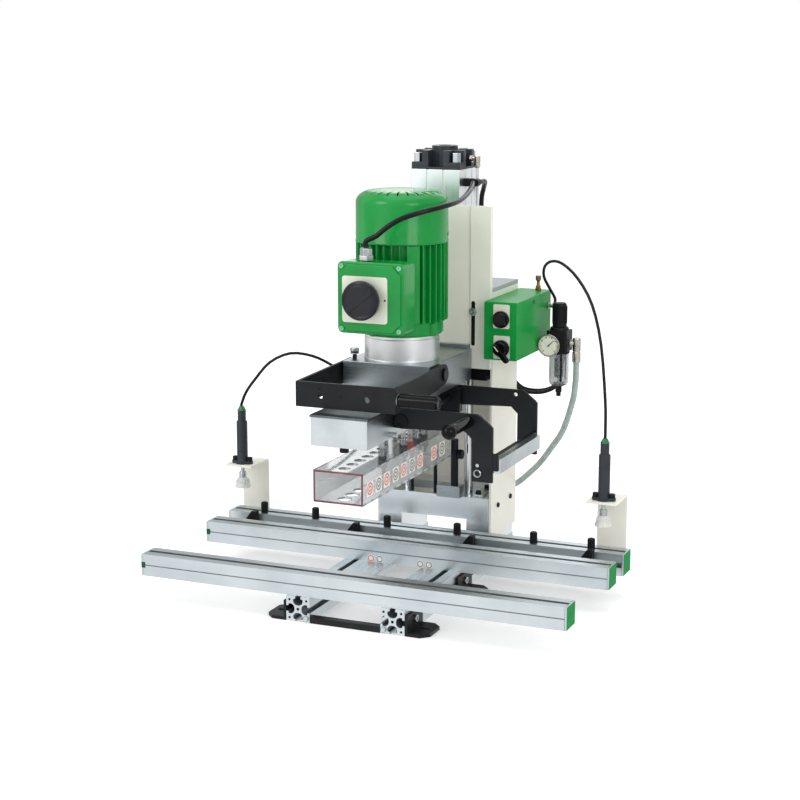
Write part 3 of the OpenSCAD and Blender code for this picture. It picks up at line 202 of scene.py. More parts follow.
# Finishes: each row holds colour, drift, cloud, grain, depth, rough, metallic and slot. Colour and drift are
# the two ends of a soft cloudy variation whose size is cloud, in millimetres. Grain is the size of the fine
# pattern, in millimetres, along X, Y and Z where these differ, depth its height in millimetres, and rough
# the least and the most roughness that it brings. Slot is the record's material slot. At the end stands
# what the finish has besides: shine scales the mirror part where it isn't 0.5, coat is a clear coat and
# glass lets light through.
extras = {"shine": "Specular IOR Level", "coat": "Coat Weight", "glass": "Transmission Weight"}
coatRough = 0.06
acrylicIor = 1.49
finishes = {
    # Clear-anodised extrusion: pale satin metal with die lines along the bar, drawn 0.8 mm apart so they show
    "anodisedAlongX": ("#ccd3d6", "#bfc8cc", 90, (140, 0.8, 0.8), 0.012, (0.34, 0.46), 1.0,
        "extruded_aluminium"),
    "anodisedAlongY": ("#ccd3d6", "#bfc8cc", 90, (0.8, 140, 0.8), 0.012, (0.34, 0.46), 1.0,
        "extruded_aluminium"),
    "anodisedAlongZ": ("#e8edef", "#dde3e6", 80, (0.8, 0.8, 140), 0.012, (0.3, 0.38), 1.0,
        "extruded_aluminium"),
    # Milled bare aluminium: cutter marks run across, brighter and sharper in its shine than the extrusions
    "milledAluminium": ("#c6cccf", "#b7bec2", 60, (1.2, 40, 40), 0.005, (0.24, 0.33), 1.0,
        "machined_aluminium"),
    # Turned bare aluminium: fine rings round the adaptor, a soft band of light down its side
    "turnedAluminium": ("#eef0f1", "#e6e9ea", 70, (60, 60, 0.7), 0.006, (0.36, 0.44), 1.0,
        "machined_aluminium"),
    # Hard-chromed ground rod: near mirror, with traces of the grinding round it
    "groundChrome": ("#dfe2e4", "#d3d7da", 50, (25, 25, 0.6), 0.004, (0.08, 0.16), 1.0, "polished_steel"),
    # Head block: fine brushing across the machine, a grey a shade deeper than the gear head's
    "brushedBlock": ("#a9b1b4", "#979fa3", 70, (90, 1, 1), 0.006, (0.27, 0.36), 1.0, "machined_aluminium"),
    # Ground steel cover of the gear head
    "darkSteel": ("#6a7073", "#5a6063", 40, (40, 1.2, 1.2), 0.006, (0.3, 0.4), 0.9, "tool_steel"),
    # Inside of slots: the same extrusion, dull and dark, as painted shade where the slots' depth keeps the
    # light out
    "slotShade": ("#8b9397", "#7c8488", 30, 1.5, 0.02, (0.42, 0.52), 0.75, "extruded_aluminium",
        {"shine": 0.3}),
    # Plug of the marking groove: dark green plastic
    "darkGreenPlug": ("#0b5230", "#094628", 10, 0.9, 0.02, (0.4, 0.52), 0.0, "green_plastic", {"shine": 0.3}),
    # Zinc-plated screws and nuts: bright, slightly cloudy
    "zincPlate": ("#c3c8cb", "#b8bec1", 6, 1.5, 0.01, (0.22, 0.36), 1.0, "nickel"),
    # Nickel-plated brass fittings: warm bright metal
    "nickelPlate": ("#cfcbc3", "#bdb8ae", 9, 2, 0.008, (0.14, 0.26), 1.0, "nickel"),
    # Bare turned brass of the throttle: reddish yellow
    "turnedBrass": ("#a8845c", "#94734d", 7, (8, 8, 0.6), 0.01, (0.2, 0.32), 1.0, "nickel"),
    # Black powder coat on steel: a fine peel breaks the shine, edges catch the light
    "blackPowderCoat": ("#121416", "#181b1d", 45, 1.1, 0.05, (0.36, 0.5), 0.0, "black_steel",
        {"shine": 0.22}),
    # Black-oxide machined steel: darker, with a dull metal shine
    "blackOxide": ("#171a1d", "#111316", 20, 0.9, 0.015, (0.3, 0.44), 0.4, "tool_steel", {"shine": 0.3}),
    # Black-anodised die casting of the cylinder's caps: blue-black, soft sheen
    "blackAnodised": ("#2a2e33", "#30353b", 30, 1.3, 0.02, (0.32, 0.46), 0.15, "black_steel", {"shine": 0.4}),
    # Moulded black nylon with a fine spark-eroded grain
    "blackNylon": ("#0f1012", "#141518", 25, 0.7, 0.025, (0.38, 0.52), 0.0, "black_plastic", {"shine": 0.2}),
    # Polished black phenolic of grips and knobs: deep and glossy
    "glossyPhenolic": ("#060607", "#09090b", 30, 6, 0.01, (0.07, 0.11), 0.0, "black_plastic",
        {"shine": 0.16}),
    # Switch knob's moulded plastic: blue-black, glossy with a faint grain
    "switchPlastic": ("#0c0d14", "#12131f", 22, 3, 0.01, (0.09, 0.15), 0.0, "black_plastic", {"shine": 0.36}),
    # Cream powder coat on sheet steel: warm white, matt, a fine peel
    "creamPowderCoat": ("#f0eee3", "#e9e7da", 120, 1.4, 0.035, (0.3, 0.42), 0.0, "cream_paint"),
    # Grey powder coat of the column's top plate
    "greyPowderCoat": ("#a4a8ab", "#999da0", 80, 1.3, 0.035, (0.4, 0.52), 0.0, "grey_paint"),
    # Sprayed green enamel on cast aluminium: glossy under a clear coat, slow orange peel 4 mm across
    "greenEnamel": ("#14913e", "#108638", 70, 4, 0.016, (0.2, 0.26), 0.0, "green_paint", {"shine": 0.2,
        "coat": 0.22}),
    # Green enamel on folded sheet: flatter and a little less glossy
    "greenSheetEnamel": ("#12923e", "#0f8a39", 90, 3, 0.015, (0.28, 0.36), 0.0, "green_paint",
        {"shine": 0.08, "coat": 0.04}),
    # Moulded covers of the switch box's screws: pale green all over, a painted highlight of their shiny green
    # domes
    "greenCapPaintedHighlight": ("#7cc094", "#70b488", 8, 0.9, 0.01, (0.25, 0.35), 0.0, "green_plastic"),
    # Green moulded polyamide of the rails' end caps
    "greenNylon": ("#0b8c42", "#09833d", 24, 0.8, 0.03, (0.38, 0.5), 0.0, "green_plastic", {"shine": 0.04}),
    # Satin label plates of printed aluminium
    "labelPlate": ("#dfe2d2", "#d5d9c8", 30, (0.9, 0.9, 30), 0.006, (0.32, 0.42), 0.15, "grey_paint"),
    # White printed dial card
    "dialCard": ("#f4f0e2", "#ece7d8", 12, 0.5, 0.004, (0.5, 0.6), 0.0, "cream_paint"),
    # Printed black, grey and red inks on film
    "blackInk": ("#16171a", "#1e1f22", 6, 0.6, 0.003, (0.42, 0.52), 0.0, "black_plastic"),
    "greyInk": ("#5d6165", "#6b6f73", 6, 0.6, 0.003, (0.4, 0.5), 0.0, "grey_paint"),
    "redInk": ("#dd5a3a", "#d04c2e", 6, 0.6, 0.003, (0.4, 0.5), 0.0, "grey_paint"),
    "labelFilm": ("#f0ebe6", "#e7e1db", 14, 0.7, 0.003, (0.3, 0.4), 0.0, "cream_paint"),
    # Red-anodised chuck that marks its place
    "redAnodised": ("#e2401f", "#cf3518", 12, (9, 9, 0.7), 0.01, (0.24, 0.36), 0.3, "tool_steel"),
    # Smooth PVC sheath of the motor cable: black with a long soft shine
    "cableSheath": ("#0b0c0d", "#101112", 40, 2.5, 0.02, (0.22, 0.32), 0.0, "black_rubber", {"shine": 0.24}),
    # Grey-green woven-core air hose: milky wall over its braid
    "hoseWall": ("#a9b9b3", "#97aaa4", 16, 1.6, 0.06, (0.24, 0.36), 0.0, "black_rubber", {"coat": 0.3}),
    # Clear acrylic of the guard, its cut edges a faint red
    "clearAcrylic": ("#f4f8f9", "#eef3f5", 60, 9, 0.02, (0.02, 0.06), 0.0, "clear_plastic", {"glass": 0.86}),
    "redEdgeAcrylic": ("#8c4154", "#7c3648", 18, 2, 0.01, (0.12, 0.22), 0.0, "clear_plastic",
        {"glass": 0.45}),
    # Clear polycarbonate bowl and polyurethane tube
    "clearPolycarbonate": ("#f2f6f6", "#e9efef", 25, 5, 0.008, (0.02, 0.06), 0.0, "clear_plastic",
        {"glass": 0.9}),
    "frostedPad": ("#f6f7f2", "#eff0ea", 10, 1.5, 0.03, (0.3, 0.4), 0.0, "clear_plastic", {"glass": 0.3}),
    "greenTranslucent": ("#2f7a50", "#286d46", 8, 2, 0.01, (0.14, 0.24), 0.0, "green_plastic",
        {"glass": 0.15}),
}


def makeFinish(name, colour, drift, cloud, grain, depth, rough, metallic, slot, more=()):
    material = bpy.data.materials.new(name)
    material.use_nodes = True
    tree = material.node_tree
    tree.nodes.clear()
    place = addNode(tree, "ShaderNodeTexCoord").outputs["Object"]
    clouds = addNode(tree, "ShaderNodeTexNoise", {"Vector": place, "Scale": 1 / (cloud * mm), "Detail": 3.0})
    tint = addNode(tree, "ShaderNodeValToRGB", {"Fac": clouds.outputs["Fac"]})
    for stop, (position, shade) in zip(tint.color_ramp.elements, ((0.35, drift), (0.65, colour))):
        stop.position = position
        stop.color = linear(shade)
    sizes = grain if isinstance(grain, tuple) else (grain, grain, grain)
    spread = addNode(tree, "ShaderNodeMapping", {"Vector": place, "Scale": tuple(1 / (s * mm)
            for s in sizes)})
    fine = addNode(tree, "ShaderNodeTexNoise", {"Vector": spread, "Scale": 1.0, "Detail": 2.0}).outputs["Fac"]
    worn = addNode(tree, "ShaderNodeMapRange", {"Value": fine, "From Min": 0.3, "From Max": 0.7,
            "To Min": rough[0], "To Max": rough[1]})
    bump = addNode(tree, "ShaderNodeBump", {"Height": fine, "Strength": 1.0, "Distance": depth * mm})
    shader = addNode(tree, "ShaderNodeBsdfPrincipled", {"Base Color": tint, "Roughness": worn,
            "Metallic": metallic, "Normal": bump})
    for extra in more:
        shader.inputs[extras[extra]].default_value = more[extra]
    if "coat" in more:
        shader.inputs["Coat Roughness"].default_value = coatRough
    if "glass" in more:
        shader.inputs["IOR"].default_value = acrylicIor
    addNode(tree, "ShaderNodeOutputMaterial", {"Surface": shader})
    material["slot"] = slot
    return material


paint = {name: makeFinish(name, *look) for name, look in finishes.items()}
print("stage:", len(paint), "finishes")

# Shapes, in millimetres


class Shape:
    # Gathers closed solids into one piece; each solid gets its own edge break, and the base finish or its own
    def __init__(self, base):
        self.base = base
        self.whole = bmesh.new()
        self.finishes = []

    def numberOf(self, finish):
        if finish not in self.finishes:
            self.finishes.append(finish)
        return self.finishes.index(finish)

    def add(self, part, edge=0.0, finish=None, sharp=30, steps=2, place=None):
        finish = finish or self.base
        if isinstance(part, tuple):
            part = grow(*part, paint[finish])
        bmesh.ops.remove_doubles(part, verts=part.verts, dist=0.003)
        bmesh.ops.recalc_face_normals(part, faces=part.faces)
        if edge:
            corners = [e for e in part.edges if len(e.link_faces) == 2
                    and e.calc_face_angle(0) > math.radians(sharp)]
            bmesh.ops.bevel(part, geom=corners, offset=edge, offset_type="OFFSET", segments=steps,
                    profile=0.5, affect="EDGES", clamp_overlap=True)
        number = self.numberOf(finish)
        for face in part.faces:
            face.material_index = number
            face.smooth = True
        if place:
            bmesh.ops.transform(part, matrix=place, verts=part.verts)
        mesh = bpy.data.meshes.new("part")
        part.to_mesh(mesh)
        part.free()
        self.whole.from_mesh(mesh)
        bpy.data.meshes.remove(mesh)
        return self

    def zone(self, finish, inside):
        number = self.numberOf(finish)
        for face in self.whole.faces:
            if inside(face.calc_center_median(), face.normal):
                face.material_index = number

    def finish(self, name, body, replaces=(), sharp=32, even=True):
        bmesh.ops.transform(self.whole, matrix=toFrame, verts=self.whole.verts)
        mesh = bpy.data.meshes.new(name)
        self.whole.to_mesh(mesh)
        self.whole.free()
        for finish in self.finishes:
            mesh.materials.append(paint[finish])
        mesh.set_sharp_from_angle(angle=math.radians(sharp))
        piece = bpy.data.objects.new(name, mesh)
        scene.collection.objects.link(piece)
        if even:  # flat faces stay flat between their rounded edges
            piece.modifiers.new("flatFaces", "WEIGHTED_NORMAL").keep_sharp = True
        if body:
            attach(piece, body)
        if replaces:
            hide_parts(*replaces)
        return piece


def block(x, y, z):
    part = bmesh.new()
    bmesh.ops.create_cube(part, size=1)
    for vert in part.verts:
        vert.co = Vector((x[vert.co.x > 0], y[vert.co.y > 0], z[vert.co.z > 0]))
    return part


# Faces between one ring of corners and the next
def skin(part, rings, ends=True):
    if ends:
        part.faces.new(rings[0])
        part.faces.new(rings[-1])
    for low, high in zip(rings, rings[1:]):
        for k in range(len(low)):
            n = (k + 1) % len(low)
            corners = list(dict.fromkeys((low[k], low[n], high[n], high[k])))
            if len(corners) > 2:
                part.faces.new(corners)
    return part


# An outline pulled along an axis: its pairs are (Y, Z) along x, (X, Z) along y and (X, Y) along z
def pull(outline, axis, span):
    part = bmesh.new()
    lift = {"x": lambda p, t: (t, p[0], p[1]), "y": lambda p, t: (p[0], t, p[1]),
            "z": lambda p, t: (p[0], p[1], t)}[axis]
    return skin(part, [[part.verts.new(lift(p, t)) for p in outline] for t in span])


# A rectangle with round corners, as an outline for pull
def roundedRect(a, b, radius, steps=5):
    outline = []
    for turn, (u, v) in enumerate(((a[1], b[1]), (a[0], b[1]), (a[0], b[0]), (a[1], b[0]))):
        cu, cv = u - radius * (1 if u == a[1] else -1), v - radius * (1 if v == b[1] else -1)
        outline += arc(cu, cv, radius, [90 * turn + 90 * k / steps for k in range(steps + 1)])
    return outline


# Points on a circle round (u, v) at these angles in degrees
def arc(u, v, radius, angles):
    return [(u + radius * math.cos(math.radians(a)), v + radius * math.sin(math.radians(a))) for a in angles]


def disc(radius, sides=48, at=(0, 0)):
    return arc(*at, radius, [360 * k / sides for k in range(sides)])


# A profile of (radius, height) turned about an axis through a point; a closed one is a ring, and any other
# one starts and ends on the axis if capped
def turned(profile, at=(0, 0, 0), axis=(0, 0, 1), sides=48, closed=False, capped=True):
    part = bmesh.new()
    spin, middle = Vector(axis).to_track_quat("Z", "Y").to_matrix(), Vector(at)
    if capped and not closed:
        first, last = profile[0], profile[-1]
        profile = [(0, first[1])] * (first[0] > 0) + profile + [(0, last[1])] * (last[0] > 0)
    rings = []
    for radius, height in profile:
        if radius < 1e-4:
            rings.append([part.verts.new(spin @ Vector((0, 0, height)) + middle)] * sides)
        else:
            rings.append([part.verts.new(spin @ Vector((u, v, height)) + middle)
                          for u, v in disc(radius, sides)])
    return skin(part, rings + rings[:closed], False)


def rod(a, b, radius, sides=32):
    a, b = Vector(a), Vector(b)
    return turned([(radius, 0), (radius, (b - a).length)], a, b - a, sides)


# A smooth line through given points
def smoothLine(points, steps=6):
    points = [Vector(p) for p in points]
    line = []
    for i in range(len(points) - 1):
        a, b, c, d = (points[max(i - 1, 0)], points[i], points[i + 1], points[min(i + 2, len(points) - 1)])
        for k in range(steps):
            t = k / steps
            line.append(0.5 * (2 * b + (c - a) * t + (2 * a - 5 * b + 4 * c - d) * t * t
                    + (3 * b - a - 3 * c + d) * t ** 3))
    return line + [points[-1]]


def tube(line, radius, sides):
    part = bmesh.new()
    rings, side = [], None
    for i, point in enumerate(line):
        ahead = (line[min(i + 1, len(line) - 1)] - line[max(i - 1, 0)]).normalized()
        side = side or ahead.orthogonal()
        side = (side - ahead * side.dot(ahead)).normalized()
        up = ahead.cross(side)
        rings.append([part.verts.new(point + u * side + v * up) for u, v in disc(radius, sides)])
    return skin(part, rings)


# Where a part goes that was made at the origin, and its turn
def spot(x, y, z, degrees=0, axis="Z"):
    return Matrix.Translation((x, y, z)) @ Matrix.Rotation(math.radians(degrees), 4, axis)


# A copy of a frame solid, welded and with its flat faces whole again, ready for an edge break
def solidOf(node):
    part = bmesh.new()
    part.from_mesh(frame["nodes"][node].data)
    bmesh.ops.transform(part, matrix=toFrame.inverted(), verts=part.verts)
    bmesh.ops.remove_doubles(part, verts=part.verts, dist=0.005)
    bmesh.ops.dissolve_limit(part, angle_limit=math.radians(0.6), verts=part.verts, edges=part.edges)
    return part


# Geometry Nodes trees for what repeats

def newTree(name, inputs):
    tree = bpy.data.node_groups.new(name, "GeometryNodeTree")
    tree.interface.new_socket("Geometry", in_out="INPUT", socket_type="NodeSocketGeometry")
    for label, kind in inputs.items():
        tree.interface.new_socket(label, in_out="INPUT", socket_type="NodeSocket" + kind)
    tree.interface.new_socket("Geometry", in_out="OUTPUT", socket_type="NodeSocketGeometry")
    return tree, addNode(tree, "NodeGroupInput").outputs


def endTree(tree, geometry, finish):
    real = addNode(tree, "GeometryNodeRealizeInstances", {"Geometry": geometry})
    done = addNode(tree, "GeometryNodeSetMaterial", {"Geometry": real, "Material": finish})
    addNode(tree, "NodeGroupOutput", {"Geometry": done})
    return tree


# Blocks in a ring about Z, each narrowing outward: fins, ribs, flutes, ticks and teeth
def makeRingTree():
    tree, given = newTree("blocksInRing", {"Count": "Int", "Start": "Float", "Step": "Float",
            "Radius": "Float", "Size": "Vector", "Taper": "Float", "Finish": "Material"})
    line = addNode(tree, "GeometryNodeMeshLine", {"Count": given["Count"], "Offset": (0, 0, 0)})
    number = addNode(tree, "GeometryNodeInputIndex")
    turn = addNode(tree, "ShaderNodeMath", {0: number, 1: given["Step"], 2: given["Start"]},
            operation="MULTIPLY_ADD")
    radians = addNode(tree, "ShaderNodeMath", {0: turn}, operation="RADIANS")
    across = addNode(tree, "ShaderNodeMath", {0: radians}, operation="COSINE")
    along = addNode(tree, "ShaderNodeMath", {0: radians}, operation="SINE")
    way = addNode(tree, "ShaderNodeCombineXYZ", {"X": across, "Y": along})
    spot = addNode(tree, "ShaderNodeVectorMath", {0: way, "Scale": given["Radius"]}, operation="SCALE")
    placed = addNode(tree, "GeometryNodeSetPosition", {"Geometry": line, "Position": spot})
    bar = addNode(tree, "GeometryNodeMeshCube", {"Size": given["Size"]})
    here = addNode(tree, "ShaderNodeSeparateXYZ", {0: addNode(tree, "GeometryNodeInputPosition")})
    size = addNode(tree, "ShaderNodeSeparateXYZ", {0: given["Size"]})
    share = addNode(tree, "ShaderNodeMath", {0: here.outputs["X"], 1: size.outputs["X"]}, operation="DIVIDE")
    less = addNode(tree, "ShaderNodeMath", {0: share, 1: 0.5}, operation="ADD")
    cut = addNode(tree, "ShaderNodeMath", {0: less, 1: given["Taper"]}, operation="MULTIPLY")
    shift = addNode(tree, "ShaderNodeMath", {0: cut, 1: here.outputs["Y"]}, operation="MULTIPLY")
    back = addNode(tree, "ShaderNodeMath", {0: shift, 1: -1.0}, operation="MULTIPLY")
    move = addNode(tree, "ShaderNodeCombineXYZ", {"Y": back})
    fin = addNode(tree, "GeometryNodeSetPosition", {"Geometry": bar, "Offset": move})
    lean = addNode(tree, "ShaderNodeCombineXYZ", {"Z": radians})
    rows = addNode(tree, "GeometryNodeInstanceOnPoints", {"Points": placed, "Instance": fin,
            "Rotation": lean})
    return endTree(tree, rows, given["Finish"])


# A copy of a part on each given point, turned the way that the point faces
def standOnPoints(tree, given, part):
    facing = addNode(tree, "GeometryNodeInputNamedAttribute", {"Name": "facing"}, data_type="FLOAT_VECTOR")
    aim = addNode(tree, "FunctionNodeAlignRotationToVector", {"Vector": facing}, axis="Z")
    rows = addNode(tree, "GeometryNodeInstanceOnPoints", {"Points": given["Geometry"], "Instance": part,
            "Rotation": aim})
    return endTree(tree, rows, given["Finish"])


# Screw heads with a round socket
def makeScrewTree():
    tree, given = newTree("socketScrews", {"Head radius": "Float", "Head height": "Float",
            "Socket share": "Float", "Socket depth": "Float", "Sides": "Int", "Finish": "Material"})
    head = addNode(tree, "GeometryNodeMeshCylinder", {"Vertices": given["Sides"],
            "Radius": given["Head radius"], "Depth": given["Head height"]})
    half = addNode(tree, "ShaderNodeMath", {0: given["Head height"], 1: 0.5}, operation="MULTIPLY")
    rise = addNode(tree, "ShaderNodeCombineXYZ", {"Z": half})
    stood = addNode(tree, "GeometryNodeSetPosition", {"Geometry": head, "Offset": rise})
    normal = addNode(tree, "ShaderNodeSeparateXYZ", {0: addNode(tree, "GeometryNodeInputNormal")})
    top = addNode(tree, "FunctionNodeCompare", {0: normal.outputs["Z"], 1: 0.9}, data_type="FLOAT",
            operation="GREATER_THAN")
    rim = addNode(tree, "GeometryNodeExtrudeMesh", {"Mesh": stood, "Selection": top, "Offset Scale": 0.0,
            "Individual": False}, mode="FACES")
    drawn = addNode(tree, "GeometryNodeScaleElements", {"Geometry": rim.outputs["Mesh"],
            "Selection": rim.outputs["Top"], "Scale": given["Socket share"]}, domain="FACE")
    down = addNode(tree, "ShaderNodeMath", {0: given["Socket depth"], 1: -1.0}, operation="MULTIPLY")
    deep = addNode(tree, "GeometryNodeExtrudeMesh", {"Mesh": drawn, "Selection": rim.outputs["Top"],
            "Offset Scale": down, "Individual": False}, mode="FACES")
    return standOnPoints(tree, given, deep)


# Flat printed rings
def makeMarkTree():
    tree, given = newTree("printedRings", {"Ring radius": "Float", "Line": "Float", "Lift": "Float",
            "Finish": "Material"})
    loop = addNode(tree, "GeometryNodeCurvePrimitiveCircle", {"Radius": given["Ring radius"],
            "Resolution": 32})
    brush = addNode(tree, "GeometryNodeCurvePrimitiveQuadrilateral", {"Width": given["Line"],
            "Height": given["Lift"]})
    ring = addNode(tree, "GeometryNodeCurveToMesh", {"Curve": loop, "Profile Curve": brush})
    return standOnPoints(tree, given, ring)


ringTree, screwTree, markTree = makeRingTree(), makeScrewTree(), makeMarkTree()


# Runs a tree on points and gives its plain mesh
def grow(tree, values, points, facing, finish):
    mesh = bpy.data.meshes.new("points")
    mesh.from_pydata(points, [], [])
    if facing:
        ways = facing if isinstance(facing, list) else [facing] * len(points)
        stored = mesh.attributes.new("facing", "FLOAT_VECTOR", "POINT")
        stored.data.foreach_set("vector", [c for way in ways for c in way])
    holder = bpy.data.objects.new("grow", mesh)
    scene.collection.objects.link(holder)
    modifier = holder.modifiers.new("grow", "NODES")
    modifier.node_group = tree
    values = {**values, "Finish": finish}
    for socket in tree.interface.items_tree:
        if socket.in_out == "INPUT" and socket.name in values:
            value = values[socket.name]
            modifier[socket.identifier] = float(value) if socket.socket_type.endswith("Float") else value
    bpy.context.view_layer.update()
    dressed = holder.evaluated_get(bpy.context.evaluated_depsgraph_get())
    result = bpy.data.meshes.new_from_object(dressed)
    holder.modifiers.remove(modifier)
    bpy.data.objects.remove(holder)
    part = bmesh.new()
    part.from_mesh(result)
    return part


# What a Shape is to grow in its own finish: a tree with its sizes, the points and the ways that they face
def ringOf(count, radius, size, start=0, step=None, taper=0):
    return ringTree, {"Count": count, "Start": start, "Step": 360 / count if step is None else step,
            "Radius": radius, "Size": [float(v) for v in size], "Taper": taper}, ((0, 0, 0),), None


def screws(points, facing, radius, height, socket=0.55, sides=24):
    return screwTree, {"Head radius": radius, "Head height": height, "Socket share": socket,
            "Socket depth": height * 0.6, "Sides": sides}, points, facing


def marks(points, facing, radius, line, lift=0.3):
    return markTree, {"Ring radius": radius, "Line": line, "Lift": lift}, points, facing


print("stage: shapes and trees ready")

# Cords: routes from where each leaves its fitting, in millimetres

cords = {
    "motorCable": {
        "width": 9, "finish": "cableSheath", "slack": "medium", "bends": ("head", "frame"),
        "replaces": ["motor_cable"],
        "route": [(-13, 120, 642), (-13, 120, 652), (4, 124, 661), (22, 128, 676), (48, 137, 692),
                  (80, 154, 703), (104, 190, 710), (108, 245, 714), (93, 330, 721), (77, 392, 729),
                  (70, 412, 731), (70, 424, 731)]},
    "cableTail": {
        "width": 9, "finish": "cableSheath", "slack": "medium",
        "route": [(70, 440, 731), (70, 458, 731), (68, 482, 729), (56, 508, 714), (50, 513, 690),
                  (50, 513, 620), (50, 513, 542)]},
    "rightTube": {
        "width": 5.5, "finish": "cableSheath", "slack": "medium", "replaces": ["air_hoses"],
        "route": [(193, 530, 502), (193, 530, 511), (187, 514, 532), (184, 490, 556), (194, 465, 579),
                  (216, 440, 592), (245, 415, 591), (283, 385, 570), (318, 360, 528), (342, 340, 461),
                  (356, 326, 366), (359, 321, 320), (359, 321, 298)]},
    "leftTube": {
        "width": 5.5, "finish": "cableSheath", "slack": "medium",
        "route": [(-128, 424, 322), (-140, 424, 322), (-154, 406, 340), (-174, 380, 364),
                  (-199, 366, 384), (-230, 352, 400), (-270, 340, 404), (-308, 330, 386),
                  (-336, 325, 354), (-356, 322, 326), (-366, 321, 302), (-366, 321, 298)]},
    "airHose": {
        "width": 11.5, "finish": "hoseWall", "slack": "stiff",
        "route": [(247, 500, 396), (247, 500, 372), (245, 502, 352), (240, 505, 322), (219, 515, 262),
                  (192, 526, 222), (166, 540, 188), (140, 552, 162), (118, 558, 142), (94, 560, 128),
                  (70, 560, 128)]},
    "dropTube": {
        "width": 6, "finish": "clearPolycarbonate", "slack": "stiff", "lay": "taut",
        "route": [(61, 459.5, 756), (61, 459.5, 700), (61, 459.5, 620), (61, 459.5, 556)]},
}
bundle = {"count": 2, "portStep": (14, 0, 0), "step": (0, 8, 3), "width": 7,
          "route": [(205, 520, 424), (205, 531, 424), (208, 541, 384), (196, 546, 344), (176, 552, 328),
                    (149, 556, 321), (120, 556, 324), (100, 556, 340), (90, 556, 352), (80, 556, 352)]}
for number in range(bundle["count"]):  # the second tube leaves its own port, then lies beside the first
    spots = [[c + number * s for c, s in zip(spot, bundle["portStep"] if k < 2 else bundle["step"])]
             for k, spot in enumerate(bundle["route"])]
    cords[f"bundleTube{number + 1}"] = {"width": bundle["width"], "finish": "cableSheath", "slack": "medium",
            "route": spots}


def makeCord(name, facts):
    line = smoothLine(facts["route"], 4 if len(facts["route"]) < 9 else 3)
    whole = Shape(facts["finish"]).add(tube(line, facts["width"] / 2, 20))
    piece = whole.finish(name, None if "bends" in facts else "frame", facts.get("replaces", ()), even=False)
    if "bends" in facts:
        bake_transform(piece)


for name, facts in cords.items():
    makeCord(name, facts)
print("stage:", len(cords), "cords")

# Pieces that keep the shape of the frame's solids: edge break in millimetres and finish

keptShapes = {
    "base_brackets": (0.9, "blackPowderCoat"),
    "rail_supports": (0.6, "milledAluminium"),
    "front_rail": (0.5, "anodisedAlongX"),
    "middle_rail": (0.5, "anodisedAlongX"),
    "back_rail": (0.5, "anodisedAlongX"),
    "rail_end_caps": (1.0, "greenNylon"),
    "flip_stop_1": (1.0, "blackNylon"),
    "flip_stop_2": (1.0, "blackNylon"),
    "flip_stop_3": (1.0, "blackNylon"),
    "flip_stop_4": (1.0, "blackNylon"),
    "portal": (0.6, "anodisedAlongZ"),
    "column_shell": (0.7, "creamPowderCoat"),
    "column_top_plate": (0.8, "greyPowderCoat"),
    "guide_rods": (0.8, "groundChrome"),
    "depth_stop": (0.8, "blackOxide"),
    "cylinder_tube": (0.7, "anodisedAlongZ"),
    "piston_rod": (0.6, "groundChrome"),
    "carriage_plate": (0.8, "creamPowderCoat"),
    "carriage_block": (1.0, "blackOxide"),
    "head_block": (0.8, "brushedBlock"),
    "head_brackets": (0.8, "blackOxide"),
    "gear_head": (0.5, "milledAluminium"),
    "u_frame": (0.9, "blackPowderCoat"),
}


# Faces inside a rail's slots, which take the painted shade of slotShade
def railSlots(y):
    return "slotShade", lambda c, n: abs(n.x) < 0.7 and y + 0.35 < c.y < y + 44.6 and 45.4 < c.z < 84.6


# Parts of a kept shape that have a finish of their own; the faces inside the rails' slots get painted shade
zones = {
    "front_rail": [railSlots(0)],
    "middle_rail": [railSlots(240)],
    "back_rail": [railSlots(330)],
    "rail_end_caps": [("anodisedAlongX", lambda c, n: abs(n.x) < 0.75)],
    "gear_head": [("darkSteel", lambda c, n: c.z > 369.9),
                  ("zincPlate", lambda c, n: c.x > 52.5 and c.z < 340)],
    "depth_stop": [("brushedBlock", lambda c, n: c.z < 165.1)],
}


def pieceName(node):
    head, *rest = node.split("_")
    return head + "".join(word.capitalize() for word in rest)


bodyOf = {node: part["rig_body"] for node, part in frame["nodes"].items()}
for node, (edge, finish) in keptShapes.items():
    kept = Shape(finish).add(solidOf(node), edge)
    for tone, inside in zones.get(node, ()):
        kept.zone(tone, inside)
    kept.finish(pieceName(node), bodyOf[node], [node])
print("stage:", len(keptShapes), "solids with rounded edges")

# Base, rails and column

stopPins = {"places": (-331, -221, -71, 71, 221, 331), "y": 343, "foot": 85, "height": 21, "radius": 7,
            "bore": 2.2}
ringMarks = {"red": (-59,), "grey": (-41.7, 39.1, 56.1), "height": 51.6, "radius": 5.2, "line": 1.5,
             "patch": 7.2, "face": 240, "film": 0.35}
gap = 0.02  # printed films stand this far off what they lie on
flips = {"places": (-347, -131, 103, 331), "face": 314, "height": 65, "radius": 6.5, "head": 4,
         "deep": 20}


def makeStops():
    pins, r, low = Shape("blackNylon"), stopPins["radius"], stopPins["foot"]
    top, bore = low + stopPins["height"], stopPins["bore"]
    for x in stopPins["places"]:
        pins.add(turned([(r, low), (r, top - 2), (r - 1.6, top), (bore, top), (bore, top - 3)],
                (x, stopPins["y"], 0), sides=40), 0.4)
    pins.finish("stopPins", "frame", ["stop_pins"])
    heads = Shape("blackOxide")
    spots = [(x, flips["face"], flips["height"]) for x in flips["places"]]
    heads.add(screws(spots, (0, -1, 0), flips["radius"], flips["head"]), 0.4)
    for x, y, z in spots:
        heads.add(rod((x, y, z), (x, y + flips["deep"], z), 4))
    heads.finish("flipScrews", "frame")


